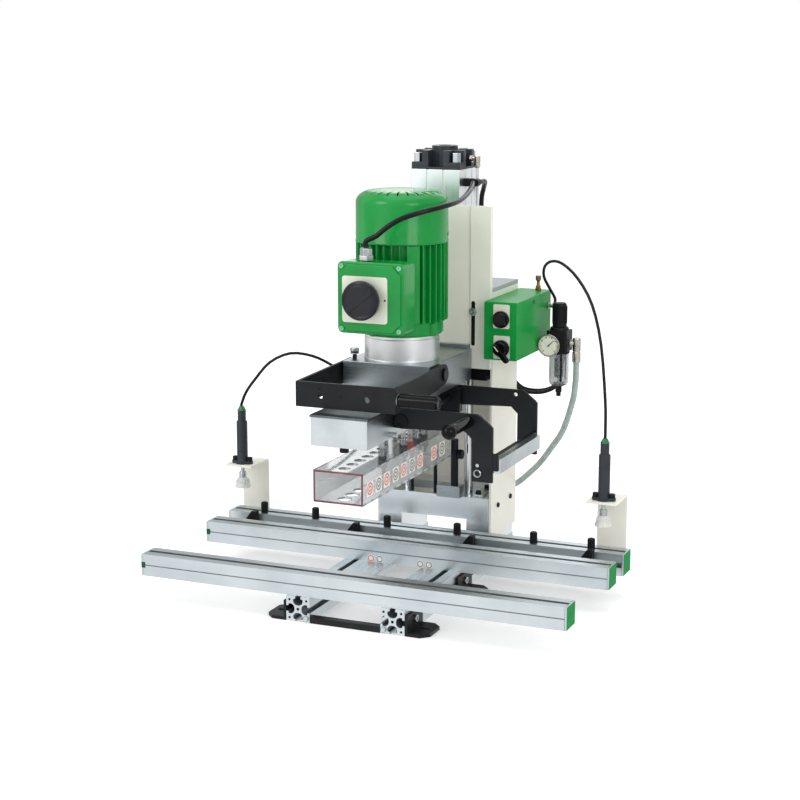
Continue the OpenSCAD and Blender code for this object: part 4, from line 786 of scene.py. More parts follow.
def makeRingMarks():
    back, z = ringMarks["face"], ringMarks["height"]
    front, film = back - ringMarks["film"], Shape("labelFilm")
    for x in ringMarks["red"] + ringMarks["grey"]:
        film.add(pull(disc(ringMarks["patch"], 32, (x, z)), "y", (front, back - gap)))
    for tone in ("red", "grey"):
        spots = [(x, front, z) for x in ringMarks[tone]]
        film.add(marks(spots, (0, -1, 0), ringMarks["radius"], ringMarks["line"]), finish=tone + "Ink")
    film.finish("railRingMarks", "frame", even=False)


capShape = {"y": 451.5, "half": 47.5, "foot": 542, "tube": 555, "low": 755, "slab": 768, "arms": 789.5,
            "top": 796.5, "arm": 27, "notch": 14, "deep": 24, "boss": 24, "bore": 12}
screwRows = {"footY": (30, 267.5, 505), "footX": 116.5, "footZ": 22.5, "nutApart": 37.5, "nutZ": 767.9,
             "wall": ((438, 123), (507, 124)), "wallX": 116}
portalPad = {"x": (77, 97), "y": (407, 475), "z": (142.9, 147)}
plugRow = {"x": (-403.4, -395.4), "y": (0, 240), "z": (59.6, 70.4)}
baseProfile = {"x": 89, "half": 22.5, "y": (-5, 540), "core": 2.6, "corner": 16.2, "bore": 2.1,
               "slot": ((5, 0), (5, 4.2), (8.4, 4.7), (9, 6), (9, 9.5), (7.6, 12.6), (4.4, 15.2), (0, 15.8))}


# An outline with round holes pulled along Y
def pullHollow(outline, holes, span):
    part = bmesh.new()
    loops = []
    for ring in [outline] + holes:
        verts = [part.verts.new((x, span[0], z)) for x, z in ring]
        loops += [part.edges.new((verts[k], verts[(k + 1) % len(verts)])) for k in range(len(verts))]
    bmesh.ops.triangle_fill(part, edges=loops, use_beauty=True)
    grown = bmesh.ops.extrude_face_region(part, geom=part.faces[:])["geom"]
    moved = [v for v in grown if isinstance(v, bmesh.types.BMVert)]
    bmesh.ops.translate(part, vec=(0, span[1] - span[0], 0), verts=moved)
    return part


def makeBaseProfiles():
    half = baseProfile["half"]
    right = [(u, half - v) for u, v in baseProfile["slot"]]
    side = [(-u, v) for u, v in right] + right[-2::-1] + [(half, half)]
    outline = []
    for turn in range(4):  # each side is the last one turned clockwise
        outline += side
        side = [(v, -u) for u, v in side]
    corner, whole = baseProfile["corner"], Shape("anodisedAlongY")
    for x in (-baseProfile["x"], baseProfile["x"]):
        section = [(x + u, half + v) for u, v in outline]
        holes = [disc(baseProfile["bore"], 20, (x + u, half + v)) for u in (-corner, corner)
                for v in (-corner, corner)]
        holes.append(disc(baseProfile["core"], 20, (x, half)))
        whole.add(pullHollow(section, holes, baseProfile["y"]), 0.35, sharp=60)
    # The faces inside the profiles' slots and bores take painted shade
    inside = half - 0.4
    whole.zone("slotShade", lambda c, n: abs(n.y) < 0.7 and abs(abs(c.x) - baseProfile["x"]) < inside
               and abs(c.z - half) < inside)
    whole.finish("baseProfiles", "frame", ["base_profiles"])

    plugs = Shape("darkGreenPlug")
    for y in plugRow["y"]:
        plugs.add(block(plugRow["x"], (y - 0.4, y + 0.6), plugRow["z"]), 0.3)
    plugs.finish("groovePlugs", "frame")


def makeScrews():
    bright = Shape("zincPlate")
    feet = [(side * screwRows["footX"], y, screwRows["footZ"]) for y in screwRows["footY"]
            for side in (-1, 1)]
    bright.add(screws(feet, [(math.copysign(1, x), 0, 0) for x, y, z in feet], 6.5, 4), 0.5)
    for side in (-1, 1):
        bright.add(turned([(4.6, 0), (4.9, 1.2), (4.9, 3.6), (3.8, 5), (0, 5.4)], (side * 73, -5, 7.5),
                (0, -1, 0)), 0.2)
    apart, y = screwRows["nutApart"], capShape["y"]
    nuts = [(side * apart, y + way * apart, screwRows["nutZ"]) for side in (-1, 1) for way in (-1, 1)]
    bright.add(screws(nuts, (0, 0, 1), 8.6, 17, 0.55, 6), 0.9, sharp=20)
    bright.finish("brightScrews", "frame", ["frame_fittings"])

    black = Shape("blackOxide")
    wall = [(side * screwRows["wallX"], y, z) for y, z in screwRows["wall"] for side in (-1, 1)]
    black.add(screws(wall, [(math.copysign(1, x), 0, 0) for x, y, z in wall], 4.8, 3), 0.4)
    x, y, z = portalPad["x"], portalPad["y"], portalPad["z"]
    Shape("milledAluminium").add(block(x, y, z), 0.6).finish("portalPad", "frame")
    black.add(screws([(86, y[0] + 8, z[1]), (86, y[1] - 14, z[1])], (0, 0, 1), 5.2, 6), 0.4)
    black.finish("wallScrews", "frame")


makeBaseProfiles()
makeStops()
makeRingMarks()
makeScrews()


# Air cylinder's caps
def makeCaps():
    y, half, arm, notch = (capShape[key] for key in ("y", "half", "arm", "notch"))
    base, slab, top = capShape["low"], capShape["slab"], capShape["top"]
    deep = half - capShape["deep"]
    caps = Shape("blackAnodised")
    for span, edge in (((capShape["foot"], capShape["tube"]), 1.2), ((base, base + 4), 0.8)):
        caps.add(block((-half, half), (y - half, y + half), span), edge)
    notched = [(-notch, -half), (-notch, -deep), (notch, -deep), (notch, -half)]
    low, high = [(-half, -half)] + notched, [(-arm, -arm), (-arm, -half)] + notched + [(arm, -half)]
    for side, span in ((low, (base + 3.5, slab)), (high, (slab - 0.5, capShape["arms"]))):
        outline = []
        for turn in range(4):
            outline += [(u, y + v) for u, v in side]
            side = [(-v, u) for u, v in side]
        caps.add(pull(outline, "z", span), 1.2)
    boss, bore = capShape["boss"], capShape["bore"]
    caps.add(turned([(bore, top - 12), (bore, top), (boss, top), (boss, base + 3)], (0, y, 0), sides=72), 1.0)
    caps.finish("cylinderCaps", "frame", ["cylinder_caps"])


# Couplings and fittings: where each stands, in millimetres
elbow = {"x": 61, "y": 459.5, "z": 772, "fitting": 542}
portOnBox = (193, 530, 496)
portOnWall = (-116, 424, 322)
throttleAt = (160, 529, 524)
# Elbows in the column's back wall: X, Z, where the neck ends, the crosspiece's Y and half length, the two
# radii and the two edge breaks
backElbows = ((62, 128, 558, 560, 8, 7, 7.8, (0.4, 0.5)), (73, 352, 556, 556, 7, 4, 5, (0.3, 0.4)),
              (73, 355, 564, 564, 7, 4, 5, (0.3, 0.4)))
clip = {"x": 70, "y": 432, "z": 731, "half": 8, "bore": 4.6}
outlet = {"x": 247, "y": 500, "z": 432}


def makeFittings():
    bright = Shape("nickelPlate")
    x, y, z = elbow["x"], elbow["y"], elbow["z"]
    bright.add(rod((47.5, y, z), (52, y, z), 7.5, 6), 0.5).add(rod((50, y, z), (x, y, z), 4.8), 0.4)
    for profile, foot in (([(4.6, -16), (5.8, -13), (5.8, -8), (5.2, -7), (5.9, -6), (5.9, 5), (4.6, 6)], z),
            ([(6, 0), (6, 8), (5, 9), (5.6, 10), (5.2, 14)], elbow["fitting"])):
        bright.add(turned(profile, (x, y, foot)), 0.3)
    x, y, z = portOnBox
    for end, wide, sides in ((x, 4, 32), (182, 6.5, 6)):
        bright.add(rod((179, y, z), (end, y, z), wide, sides), 0.3)
    bright.add(turned([(5, -5), (5, 3), (4.2, 4), (4.6, 6)], portOnBox), 0.3)
    x, y, z = portOnWall
    bright.add(rod((x, y, z), (x - 3, y, z), 6.5, 6), 0.3).add(rod((x, y, z), (x - 12, y, z), 4.6), 0.4)
    x, y, z = outlet["x"], outlet["y"], outlet["z"]
    bright.add(rod((233, y, z), (237, y, z), 8, 6), 0.5).add(rod((236, y, z), (x, y, z), 6.3), 0.4)
    bright.add(turned([(6.4, -36), (8, -34), (8, -17), (7, -16), (7, -14.5), (7.8, -13), (7.8, 8), (6.4, 11)],
            (x, y, z)), 0.4)
    for x, z, end, cross, half, neck, across, edges in backElbows:
        bright.add(rod((x, 540, z), (x, end, z), neck), edges[0])
        bright.add(rod((x - half, cross, z), (x + half, cross, z), across), edges[1])
    bright.finish("airCouplings", "frame")

    x, y, z = throttleAt
    brass = Shape("turnedBrass").add(rod((x, y, z), (x, y, z + 5), 6, 6), 0.4)
    brass.add(turned([(4.6, 5), (4.6, 9), (3, 10), (3, 17), (3.6, 18), (4.8, 20), (4.8, 27), (4, 28)],
            throttleAt), 0.3)
    brass.add(ringOf(16, 4.8, (0.8, 0.9, 6)), place=spot(x, y, z + 23.5)).finish("brassThrottle", "frame")

    x, y, z, half, bore = (clip[key] for key in ("x", "y", "z", "half", "bore"))
    holder = Shape("blackNylon").add(block((47.5, x - bore - 1.5), (y - half, y + half), (z - 7, z + 7)), 0.8)
    holder.add(turned([(bore, -half), (bore + 2.4, -half), (bore + 2.4, half), (bore, half)], (x, y, z),
            (0, 1, 0), closed=True), 0.5)
    holder.finish("cableClip", "frame")


makeCaps()
makeFittings()
print("stage: fittings")

# Head: adaptor, motor, switch

motor = {"y": 247, "foot": 477, "top": 640, "core": 72, "fins": 36, "finOut": 82, "hood": 82.5,
         "finWide": 4.4, "finHigh": 138, "hoodHeight": 90, "domeWide": 30, "domeHigh": 21, "wall": 2.4,
         "slotPitch": 15, "slotWide": 2.5, "slotIn": 53, "slotOut": 71}


def makeMotor():
    y, foot, top, core = (motor[key] for key in ("y", "foot", "top", "core"))
    ring = Shape("turnedAluminium")
    ring.add(turned([(48, 431), (68, 431), (68, 433.5), (67.2, 434.3), (67.2, 471), (66.2, 472), (66.2, 477),
            (48, 477)], (0, y, 0), sides=96, closed=True), 0.35)
    ring.finish("adaptorRing", "head", ["adaptor_ring"])

    casing = Shape("greenEnamel")
    casing.add(turned([(core - 1, foot), (core + 2, foot + 3), (core + 2, foot + 20), (core, foot + 24),
            (core, top), (core + 7, top), (core + 7, top + 5)], (0, y, 0), sides=120), 0.8)
    depth = motor["finOut"] - core + 2
    casing.add(ringOf(motor["fins"], core - 2 + depth / 2, (depth, motor["finWide"], motor["finHigh"]),
            taper=0.42), 0.7, place=spot(0, y, foot + 94))
    # Smooth boss between two fins, beside the terminal box
    boss = arc(0, y, motor["finOut"], [-61.5 + 17 * k / 8 for k in range(9)])
    boss += arc(0, y, core - 4, (-46, -60))
    casing.add(pull(boss, "z", (foot + 26, top - 1)), 1.2)
    for u, v in arc(0, y, core + 1, (-20, 70, 160, 250)):  # through-bolt lugs at the lower shield
        casing.add(turned([(7, foot + 1), (7, foot + 20), (5.5, foot + 23)], (u, v, 0)), 0.5)
    casing.finish("motorCasing", "head", ["motor_body"])


def makeHood():
    y, top, r, high, wide, deep = (motor[key] for key in ("y", "top", "hood", "hoodHeight", "domeWide",
            "domeHigh"))
    middle = Vector((0, y, top))
    profile = [(r, 0), (r, 3), (r - 0.6, 4), (r - 0.6, high - deep)]
    for k in range(1, 15):
        angle = math.radians(90 * k / 14)
        profile.append((r - 0.6 - wide + wide * math.cos(angle), high - deep + deep * math.sin(angle)))
    shell = turned(profile + [(30, high), (8, high)], (0, y, top), sides=144, capped=False)
    slots = []
    for face in shell.faces:
        out = face.calc_center_median() - middle
        turn = math.degrees(math.atan2(out.y, out.x)) % motor["slotPitch"]
        if turn < motor["slotWide"] and motor["slotIn"] < math.hypot(out.x, out.y) < motor["slotOut"]:
            slots.append(face)
    bmesh.ops.delete(shell, geom=slots, context="FACES")
    rim = [e for e in shell.edges
           if e.is_boundary and all(math.hypot(v.co.x, v.co.y - y) < 12 for v in e.verts)]
    bmesh.ops.contextual_create(shell, geom=rim)
    bmesh.ops.recalc_face_normals(shell, faces=shell.faces)
    if sum(f.normal.dot(f.calc_center_median() - middle) for f in shell.faces) < 0:
        bmesh.ops.reverse_faces(shell, faces=shell.faces)
    for face in shell.faces:
        face.smooth = True
    bmesh.ops.transform(shell, matrix=toFrame, verts=shell.verts)
    mesh = bpy.data.meshes.new("motorHood")
    shell.to_mesh(mesh)
    shell.free()
    mesh.materials.append(paint["greenEnamel"])
    mesh.set_sharp_from_angle(angle=math.radians(35))
    hood = bpy.data.objects.new("motorHood", mesh)
    scene.collection.objects.link(hood)
    wall = hood.modifiers.new("wall", "SOLIDIFY")
    wall.thickness = motor["wall"] * mm
    wall.offset = -1
    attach(hood, "head")
    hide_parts("motor_hood")

    turns = (-75, 15, 105, 195)
    small = Shape("greenEnamel")
    small.add(screws([(u, v, top + 14) for u, v in arc(0, y, r - 1.8, turns)],
            [(u, v, 0) for u, v in arc(0, 0, 1, turns)], 3.6, 2), 0.3)
    baffle = [(50, high - 5), (71, high - 8.5), (71, high - 9.5), (50, high - 6)]
    small.add(turned(baffle, (0, y, top), sides=96, closed=True), finish="zincPlate")
    small.finish("hoodScrews", "head")


switch = {"x": (-56, 67), "z": (495, 619), "front": 92, "neck": ((-40, 47), (507, 611)), "knob": (-3, 556),
          "knobRadius": 34, "turn": -38, "plate": ((-45, 39), (515, 595)), "gland": (-13, 120, 619)}


def makeSwitch():
    x, z, front, r = (switch[key] for key in ("x", "z", "front", "knobRadius"))
    box = Shape("greenEnamel")
    for inset, corner, span, edge in ((1.5, 8, (13, 58), 2.2), (3.5, 7, (10, 14), 0), (0, 9, (3, 11.5), 2.4)):
        outline = roundedRect((x[0] + inset, x[1] - inset), (z[0] + inset, z[1] - inset), corner)
        box.add(pull(outline, "y", (front + span[0], front + span[1])), edge, steps=3)
    raised = []
    for sx, sz in ((1, 1), (-1, 1), (-1, -1), (1, -1)):  # the lid's raised field leaves its corners free
        cx, cz = x[sx > 0] - sx * 4.5, z[sz > 0] - sz * 4.5
        steps = [(cx, cz - sz * 14), (cx - sx * 3, cz - sz * 13), (cx - sx * 13, cz - sz * 3),
                (cx - sx * 14, cz)]
        raised += steps[::sx * sz]
    box.add(pull(raised, "y", (front, front + 4)), 1.3, steps=3)
    box.add(pull(roundedRect(*switch["neck"], 6), "y", (front + 56, 200)), 1.0)
    box.finish("switchBox", "head", ["switch_box"])
    spots = [(u, front + 3.1, v) for u in (x[0] + 8, x[1] - 8) for v in (z[0] + 8, z[1] - 8)]
    # The screw covers' pale green is a painted highlight
    Shape("greenCapPaintedHighlight").add(screws(spots, (0, -1, 0), 4.3, 2.4, 0.4), 0.6).finish("switchBoxScrews", "head")

    wide, high = switch["plate"]
    kx, kz = switch["knob"]
    plate = Shape("labelPlate").add(pull(roundedRect(wide, high, 5), "y", (front - 2, front + 0.5)), 0.4)
    plate.add(pull(disc(1.8, 20, (wide[1] - 4, kz)), "y", (front - 2.3, front - 1.9)), finish="blackInk")
    plate.finish("switchPlate", "head")

    knob = Shape("switchPlastic")
    knob.add(turned([(5, -16), (5, 2.2), (23.8, 2.2), (23.8, 13.6), (r - 0.8, 14), (r, 14.8), (r, 21.6),
            (r - 1.4, 23.6), (r - 5, 24.4), (r - 6.6, 23.8), (r - 8, 23.8), (r - 10, 24.8), (0, 25.4)],
            (kx, front, kz), (0, -1, 0), 96), 0.25)
    half = [(r - 8, -5.6), (r - 5, -4.6), (r - 4.4, 0), (r - 5, 4.6), (r - 8, 5.6)]
    knob.add(pull(half + [(-u, -v) for u, v in half], "y", (-25.9, -20)), 0.9, steps=3,
            place=spot(kx, front, kz, switch["turn"], "Y"))
    knob.finish("switchKnob", "main_switch", ["switch_knob"])

    gland = Shape("zincPlate").add(turned([(13.6, 0), (13.6, 9)], switch["gland"], sides=6), 0.9)
    gland.add(turned([(11, 8), (11.4, 9.5), (11.4, 19), (10.4, 21), (6.4, 22.6), (4.9, 23)], switch["gland"],
            sides=8), 0.5)
    gland.finish("cableGland", "head", ["cable_gland"])


rotor = {"core": 52, "pinionTeeth": 16}


def makeRotor():
    y, core = motor["y"], rotor["core"]
    body = Shape("blackOxide")
    body.add(turned([(10, 352), (10, 360), (9.5, 360), (9.5, 507), (core, 507), (core, 610), (9.5, 610),
            (9.5, 656), (62, 656), (62, 660), (9.5, 660), (9.5, 680)], (0, y, 0)), 0.3)
    body.add(ringOf(rotor["pinionTeeth"], 10.4, (3.0, 2.6, 8), taper=0.5), place=spot(0, y, 356))
    body.add(ringOf(8, 36, (48, 3, 16)), 0.4, "blackNylon", place=spot(0, y, 668))
    body.finish("motorRotor", "rotor", ["motor_rotor"])


plungerAt = (-74, 205, 438.8)


def makePlunger():
    x, y, z = plungerAt
    knob = Shape("zincPlate")
    knob.add(turned([(7.8, 0), (7.8, 2.2), (6, 3.2), (6, 4.2), (7.9, 5.4), (7.9, 10.2), (6.6, 11.2)],
            plungerAt), 0.3)
    knob.add(ringOf(20, 7.8, (0.9, 1.1, 4.4)), place=spot(x, y, z + 7.8)).finish("plungerKnob", "head")


makeMotor()
makeHood()
makeSwitch()
makeRotor()
makePlunger()
print("stage: head and motor")

# Travel bolt and slide block

slideBlock = ((-76, 76), (380, 392), (385, 437))
# The strip span is where a thin black strip stands for the bolt's slotted hole, as painted shade of its
# inside
travelBolt = {"x": 82, "z": 498, "strip": (435, 517)}


def makeSlide():
    Shape("brushedBlock").add(block(*slideBlock), 0.8).finish("slideBlock", "head", ["slide_block"])
    x, z = travelBolt["x"], travelBolt["z"]
    bolt = Shape("zincPlate").add(rod((x, 387.9, z), (x, 386.4, z), 7.6, 36), 0.3)
    bolt.add(screws([(x, 386.5, z)], (0, -1, 0), 6, 3.4), 0.4)
    # Black strip in the slot: painted shade of the slotted hole
    bolt.add(block((x - 3.8, x + 3.8), (390, 391), travelBolt["strip"]), finish="blackNylon")
    bolt.add(rod((x, 386, z), (x, 401, z), 3.5), finish="blackOxide")
    bolt.add(block((x - 8, x + 8), (400, 406), (z - 8, z + 8)), 0.6, "blackOxide")
    bolt.finish("travelBolt", "head")


makeSlide()

# Clear guard with its guide pins and printed ring marks

guardBox = {"half": 46, "y": (-28, 368), "top": 281}
guardMarks = {"patch": 13, "rings": (9.6, 4.4), "line": 2.4, "height": 250, "film": 0.2,
              "red": (0.1, 71, 146, 221, 287), "grey": (36.6, 110, 183.5, 327)}
guardPins = {"x": 38, "y": (105.2, 335), "top": 331, "radius": 4}


def makeGuard():
    half, (front, back), high = guardBox["half"], guardBox["y"], guardBox["top"]
    walls = solidOf("guard")
    everything = walls.verts[:] + walls.edges[:] + walls.faces[:]
    bmesh.ops.bisect_plane(walls, geom=everything, plane_co=(0, 0, high), plane_no=(0, 0, 1), dist=0.01,
            clear_outer=True)
    bmesh.ops.holes_fill(walls, edges=[e for e in walls.edges if e.is_boundary], sides=0)
    clear = Shape("clearAcrylic").add(walls, 0.3, sharp=60)
    clear.finishes.append("redEdgeAcrylic")
    for face in clear.whole.faces:
        y = face.calc_center_median().y
        if min(y - front, back - y) < 0.31:
            face.material_index = 1
    clear.finish("clearGuard", "guard", ["guard"])

    pins = Shape("groundChrome")
    for y in guardPins["y"]:
        r, top = guardPins["radius"], guardPins["top"]
        pins.add(turned([(r, high), (r, top - 1), (r - 1, top)], (guardPins["x"], y, 0)), 0.2)
        pins.add(turned([(r + 2.4, high), (r + 2.4, high + 5)], (guardPins["x"], y, 0)), 0.4, "zincPlate")
    pins.finish("guardPins", "guard")

    film, z, patch = Shape("labelFilm"), guardMarks["height"], guardMarks["patch"]
    front = half + guardMarks["film"]
    for y in guardMarks["red"] + guardMarks["grey"]:
        film.add(pull(roundedRect((y - patch, y + patch), (z - patch, z + patch), 2), "x",
                (half + gap, front)))
    for tone in ("red", "grey"):
        for radius in guardMarks["rings"]:
            film.add(marks([(front, y, z) for y in guardMarks[tone]], (1, 0, 0), radius, guardMarks["line"]),
                    finish=tone + "Ink")
    film.finish("guardRingMarks", "guard", even=False)


makeGuard()

# Spindles: toothed gear, nose, chuck with its clamp screw, and fluted bit

spindles = {"places": (-2, 30, 158, 254, 286, 318, 350), "bare": 2, "bareFoot": 309, "marked": 5,
            "gear": (329.5, 341.5), "teeth": 22, "nose": 8, "chuck": (294, 313), "chuckRadius": 8.5,
            "shank": 4.5, "collet": (246, 282), "colletRadius": 6.9, "bit": 3.5, "tip": 230}


def makeSpindle(number, y):
    low, high = spindles["gear"]
    foot, top = spindles["chuck"]
    tint = "redAnodised" if number == spindles["marked"] else "blackOxide"
    r, nose = spindles["chuckRadius"], spindles["nose"]
    whole = Shape("blackOxide").add(turned([(11.8, low), (11.8, high)], (0, y, 0), sides=66), 0.2)
    whole.add(ringOf(spindles["teeth"], 12.2, (2.4, 2.6, high - low), taper=0.5), 0.2,
            place=spot(0, y, (low + high) / 2))
    if number <= spindles["bare"]:
        end = spindles["bareFoot"]
        whole.add(turned([(4, end + 12), (4, end), (nose, end), (nose, low)], (0, y, 0)), 0.6)
    else:
        whole.add(turned([(nose, top), (nose, low)], (0, y, 0)), 0.2)
        whole.add(turned([(r - 1.6, 0), (r, 1.6), (r, 6), (r - 0.5, 6.4), (r - 0.5, 7.4), (r, 7.8),
                (r, top - foot - 0.5), (r - 0.5, top - foot)], (0, y, foot)), 0.15, tint)
        whole.add(rod((r - 2, y, foot + 12), (r - 0.3, y, foot + 12), 2.6, 24), 0.3, "zincPlate")
        (base, head), wide = spindles["collet"], spindles["colletRadius"]
        bit, tip, long = spindles["bit"], spindles["tip"], head - base
        whole.add(rod((0, y, base), (0, y, foot), spindles["shank"], 32), finish="zincPlate")
        whole.add(turned([(wide - 1.2, 0), (wide, 1.2), (wide, 9), (wide - 0.7, 9.7), (wide - 0.7, 11),
                (wide, 11.7), (wide, long - 9), (wide - 3, long)], (0, y, base)), 0.15, tint)
        whole.add(rod((wide - 1.5, y, head - 15), (wide + 0.2, y, head - 15), 2.2, 24), 0.2, "zincPlate")
        whole.add(fluteOf(bit, tip + 5, base), place=spot(0, y, 0))
        whole.add(turned([(0, 0), (bit - 0.3, 5)], (0, y, tip), sides=24), finish="zincPlate")
    whole.finish(f"spindle{number}", f"spindle_body_{number}", [f"spindle_{number}"])


# A twist bit: a two-lobed section that turns as it rises
def fluteOf(radius, low, high, turns=1.2, levels=40, sides=24):
    part, rings = bmesh.new(), []
    for level in range(levels + 1):
        share, ring = level / levels, []
        for n in range(sides):
            angle = 2 * math.pi * n / sides
            reach = radius * (1 - 0.42 * abs(math.sin(angle)) ** 3)
            angle += 2 * math.pi * turns * share
            height = low + share * (high - low)
            ring.append(part.verts.new((reach * math.cos(angle), reach * math.sin(angle), height)))
        rings.append(ring)
    return skin(part, rings)


for number, y in enumerate(spindles["places"], 1):
    makeSpindle(number, y)

# Grips of the front frame and the side frame

frontGrip = {"x": (92, 165), "y": 14, "z": 402.25, "radius": 12}
sidePlate = {"pivot": (66, 350), "end": 13, "y": ((88, 94), (318, 324)), "hole": (191, 364, 3.8),
             "edge": [(183, 341.5), (195, 329.5), (195, 257), (232, 257), (232, 351), (228, 355.5),
                      (208, 371), (203, 373), (70, 373), (55, 357)], "screw": (206, 272), "pin": (206, 286),
             "nose": ((232, 242), (278, 308)), "shelf": ((223, 232), (295, 299))}
sideGrip = {"x": 189, "y": (-1, 88), "z": 360, "radius": 10.5, "ball": 13}
crossbar = ((232, 246), (92, 297), (274, 299))


def makeSideFrame():
    (px, pz), end = sidePlate["pivot"], sidePlate["end"]
    outline = sidePlate["edge"] + arc(px, pz, end, range(160, 275, 12))
    x, z, r = sidePlate["hole"]
    frames = Shape("blackPowderCoat")
    for span in sidePlate["y"]:
        frames.add(pullHollow(outline, [disc(r, 24, (x, z))], span), 0.9)
    front, rear = sidePlate["y"][0][0], sidePlate["y"][1][0]
    frames.add(rod((px, front + 5, pz), (px, rear + 1, pz), 6))
    frames.add(screws([(px, front, pz)], (0, -1, 0), end - 1, 3, 0.62, 48), 0.4, "blackOxide")
    for (wide, high), span in ((sidePlate["nose"], (front, front + 4)),
            (sidePlate["shelf"], (front + 5.5, rear + 0.5))):
        frames.add(block(wide, span, high), 0.7)
    x, z = sidePlate["screw"]
    frames.add(turned([(4.6, -0.5), (7, -0.5), (7, 3), (5.8, 4), (4.6, 2.6)], (x, front, z), (0, -1, 0),
            closed=True), 0.2, "zincPlate")
    frames.add(rod((x, front, z), (x, front - 2.4, z), 4.8, 32), 0.3, "blackOxide")
    x, z = sidePlate["pin"]
    frames.add(screws([(x, front, z)], (0, -1, 0), 3, 2.6), 0.3, "zincPlate")
    frames.finish("sideFrame", "side_frame", ["l_frame"])


def makeGrips():
    (foot, end), r, y, z = (frontGrip[key] for key in ("x", "radius", "y", "z"))
    long = end - foot
    bar = [(r - 2.5, 0), (r - 2.5, 1.6), (r - 0.6, 3), (r, 5), (r, long - 4), (r - 2.6, long),
           (r - 4.4, long), (r - 5.2, long - 1.4)]
    Shape("glossyPhenolic").add(turned(bar, (foot, y, z), (1, 0, 0), 64), 0.35).finish(
        "frontGrip", "front_frame", ["u_grip"])
    Shape("zincPlate").add(rod((foot, y, z), (foot + 1.4, y, z), 11), 0.3).finish("frontGripWasher",
            "front_frame")

    (front, back), ball, stem = sideGrip["y"], sideGrip["ball"], sideGrip["radius"]
    long = back - front
    profile = [(ball * math.sin(math.pi * k / 24), -ball * math.cos(math.pi * k / 24)) for k in range(17)]
    profile += [(stem - 0.6, 9.4), (stem - 0.4, 14), (stem, 20), (stem, long - 3), (stem - 1, long)]
    Shape("glossyPhenolic").add(turned(profile, (sideGrip["x"], front, sideGrip["z"]), (0, 1, 0), 64)).finish(
        "sideGrip", "side_frame", ["l_grip"])
    Shape("milledAluminium").add(block(*crossbar), 0.8).finish("sideCrossbar", "side_frame", ["l_crossbar"])


makeSideFrame()
makeGrips()
print("stage: guard, spindles and grips")

# Control box with its label plates and knobs

controlBox = {"x": (116, 179), "y": (354, 549), "z": (417, 524)}
controls = {"upper": {"at": (150, 493), "low": 17, "high": 27, "turn": 90},
            "lower": {"at": (151, 440), "low": 20, "high": 23, "turn": 50}}
controlKnob = {"radius": 15.5, "front": 338.2, "back": 352.2, "label": 15.5}


def makeControls():
    x, y, z = controlBox["x"], controlBox["y"], controlBox["z"]
    box = Shape("greenSheetEnamel")
    box.add(pull(roundedRect(y, z, 3.5, 4), "x", x), 1.6, sharp=50)
    # A flat black patch on the right side stands for the slot there: painted shade of its hollow
    box.add(block((x[1] - 1, x[1] + 0.15), (446, 452), (510, 518)), finish="blackNylon")
    box.finish("controlBox", "frame", ["control_box"])

    seam = Shape("blackInk")
    seam.add(block((x[0] + 2, x[1] - 2), (y[1] - 6.6, y[1] - 6), (z[0] + 2, z[1])))
    seam.finish("controlBoxSeam", "frame")

    for name, knob in controls.items():
        (kx, kz), half = knob["at"], controlKnob["label"]
        front, back, r = controlKnob["front"], controlKnob["back"], controlKnob["radius"]
        plate = Shape("labelPlate")
        plate.add(pull(roundedRect((kx - half, kx + half), (kz - knob["low"], kz + knob["high"]), 2.5), "y",
                (y[0] - 1.4, y[0] + 0.3)), 0.3)
        plate.finish(name + "LabelPlate", "frame")
        dial = Shape("glossyPhenolic")
        dial.add(turned([(r, 0), (r, 4.5), (r - 0.8, 5.4), (r - 1.8, 5.4), (r - 2.6, 6.6), (r - 3.2, 13),
                (r - 4.2, 14)], (kx, back, kz), (0, -1, 0), 64), 0.25)
        dial.add(ringOf(20, r - 0.2, (0.9, 1.6, 4.2)), 0.3, place=spot(kx, back - 2.4, kz, 90, "X"))
        dial.add(rod((kx, back - 1, kz), (kx, y[0] + 18.8, kz), 3), finish="zincPlate")
        lean = spot(kx, front, kz, knob["turn"], "Y")
        if name == "lower":
            dial.add(pull([(-10, -3.5), (-6, -5), (24, -4.6), (28, -3), (29.5, 0), (28, 3), (24, 4.6),
                    (-6, 5), (-10, 3.5)], "y", (-9.8, 0.5)), 1.4, steps=3, place=lean)
            dial.add(block((-9, 3), (-10, -9.5), (-0.9, 0.9)), finish="labelPlate", place=lean)
        else:
            dial.add(pull([(-12, -2.6), (-10, -3.4), (10, -3.4), (12, -2.6), (12.6, 0), (12, 2.6), (10, 3.4),
                    (-10, 3.4), (-12, 2.6), (-12.6, 0)], "y", (-0.2, 3)), 0.6, place=lean)
        dial.finish(name + "Knob", name + "_control", [name + "_knob"])


makeControls()

# Air regulator with its knob, gauge and bowl

regulator = {"x": 213, "y": 500, "half": 20, "z": (412, 462), "knobRadius": 14.25, "knobTop": 507.5,
             "bowl": 19, "bowlFoot": 352}
gauge = {"x": 202, "z": 430, "front": 468, "back": 480, "radius": 21.5, "ticks": 28, "needle": 16}


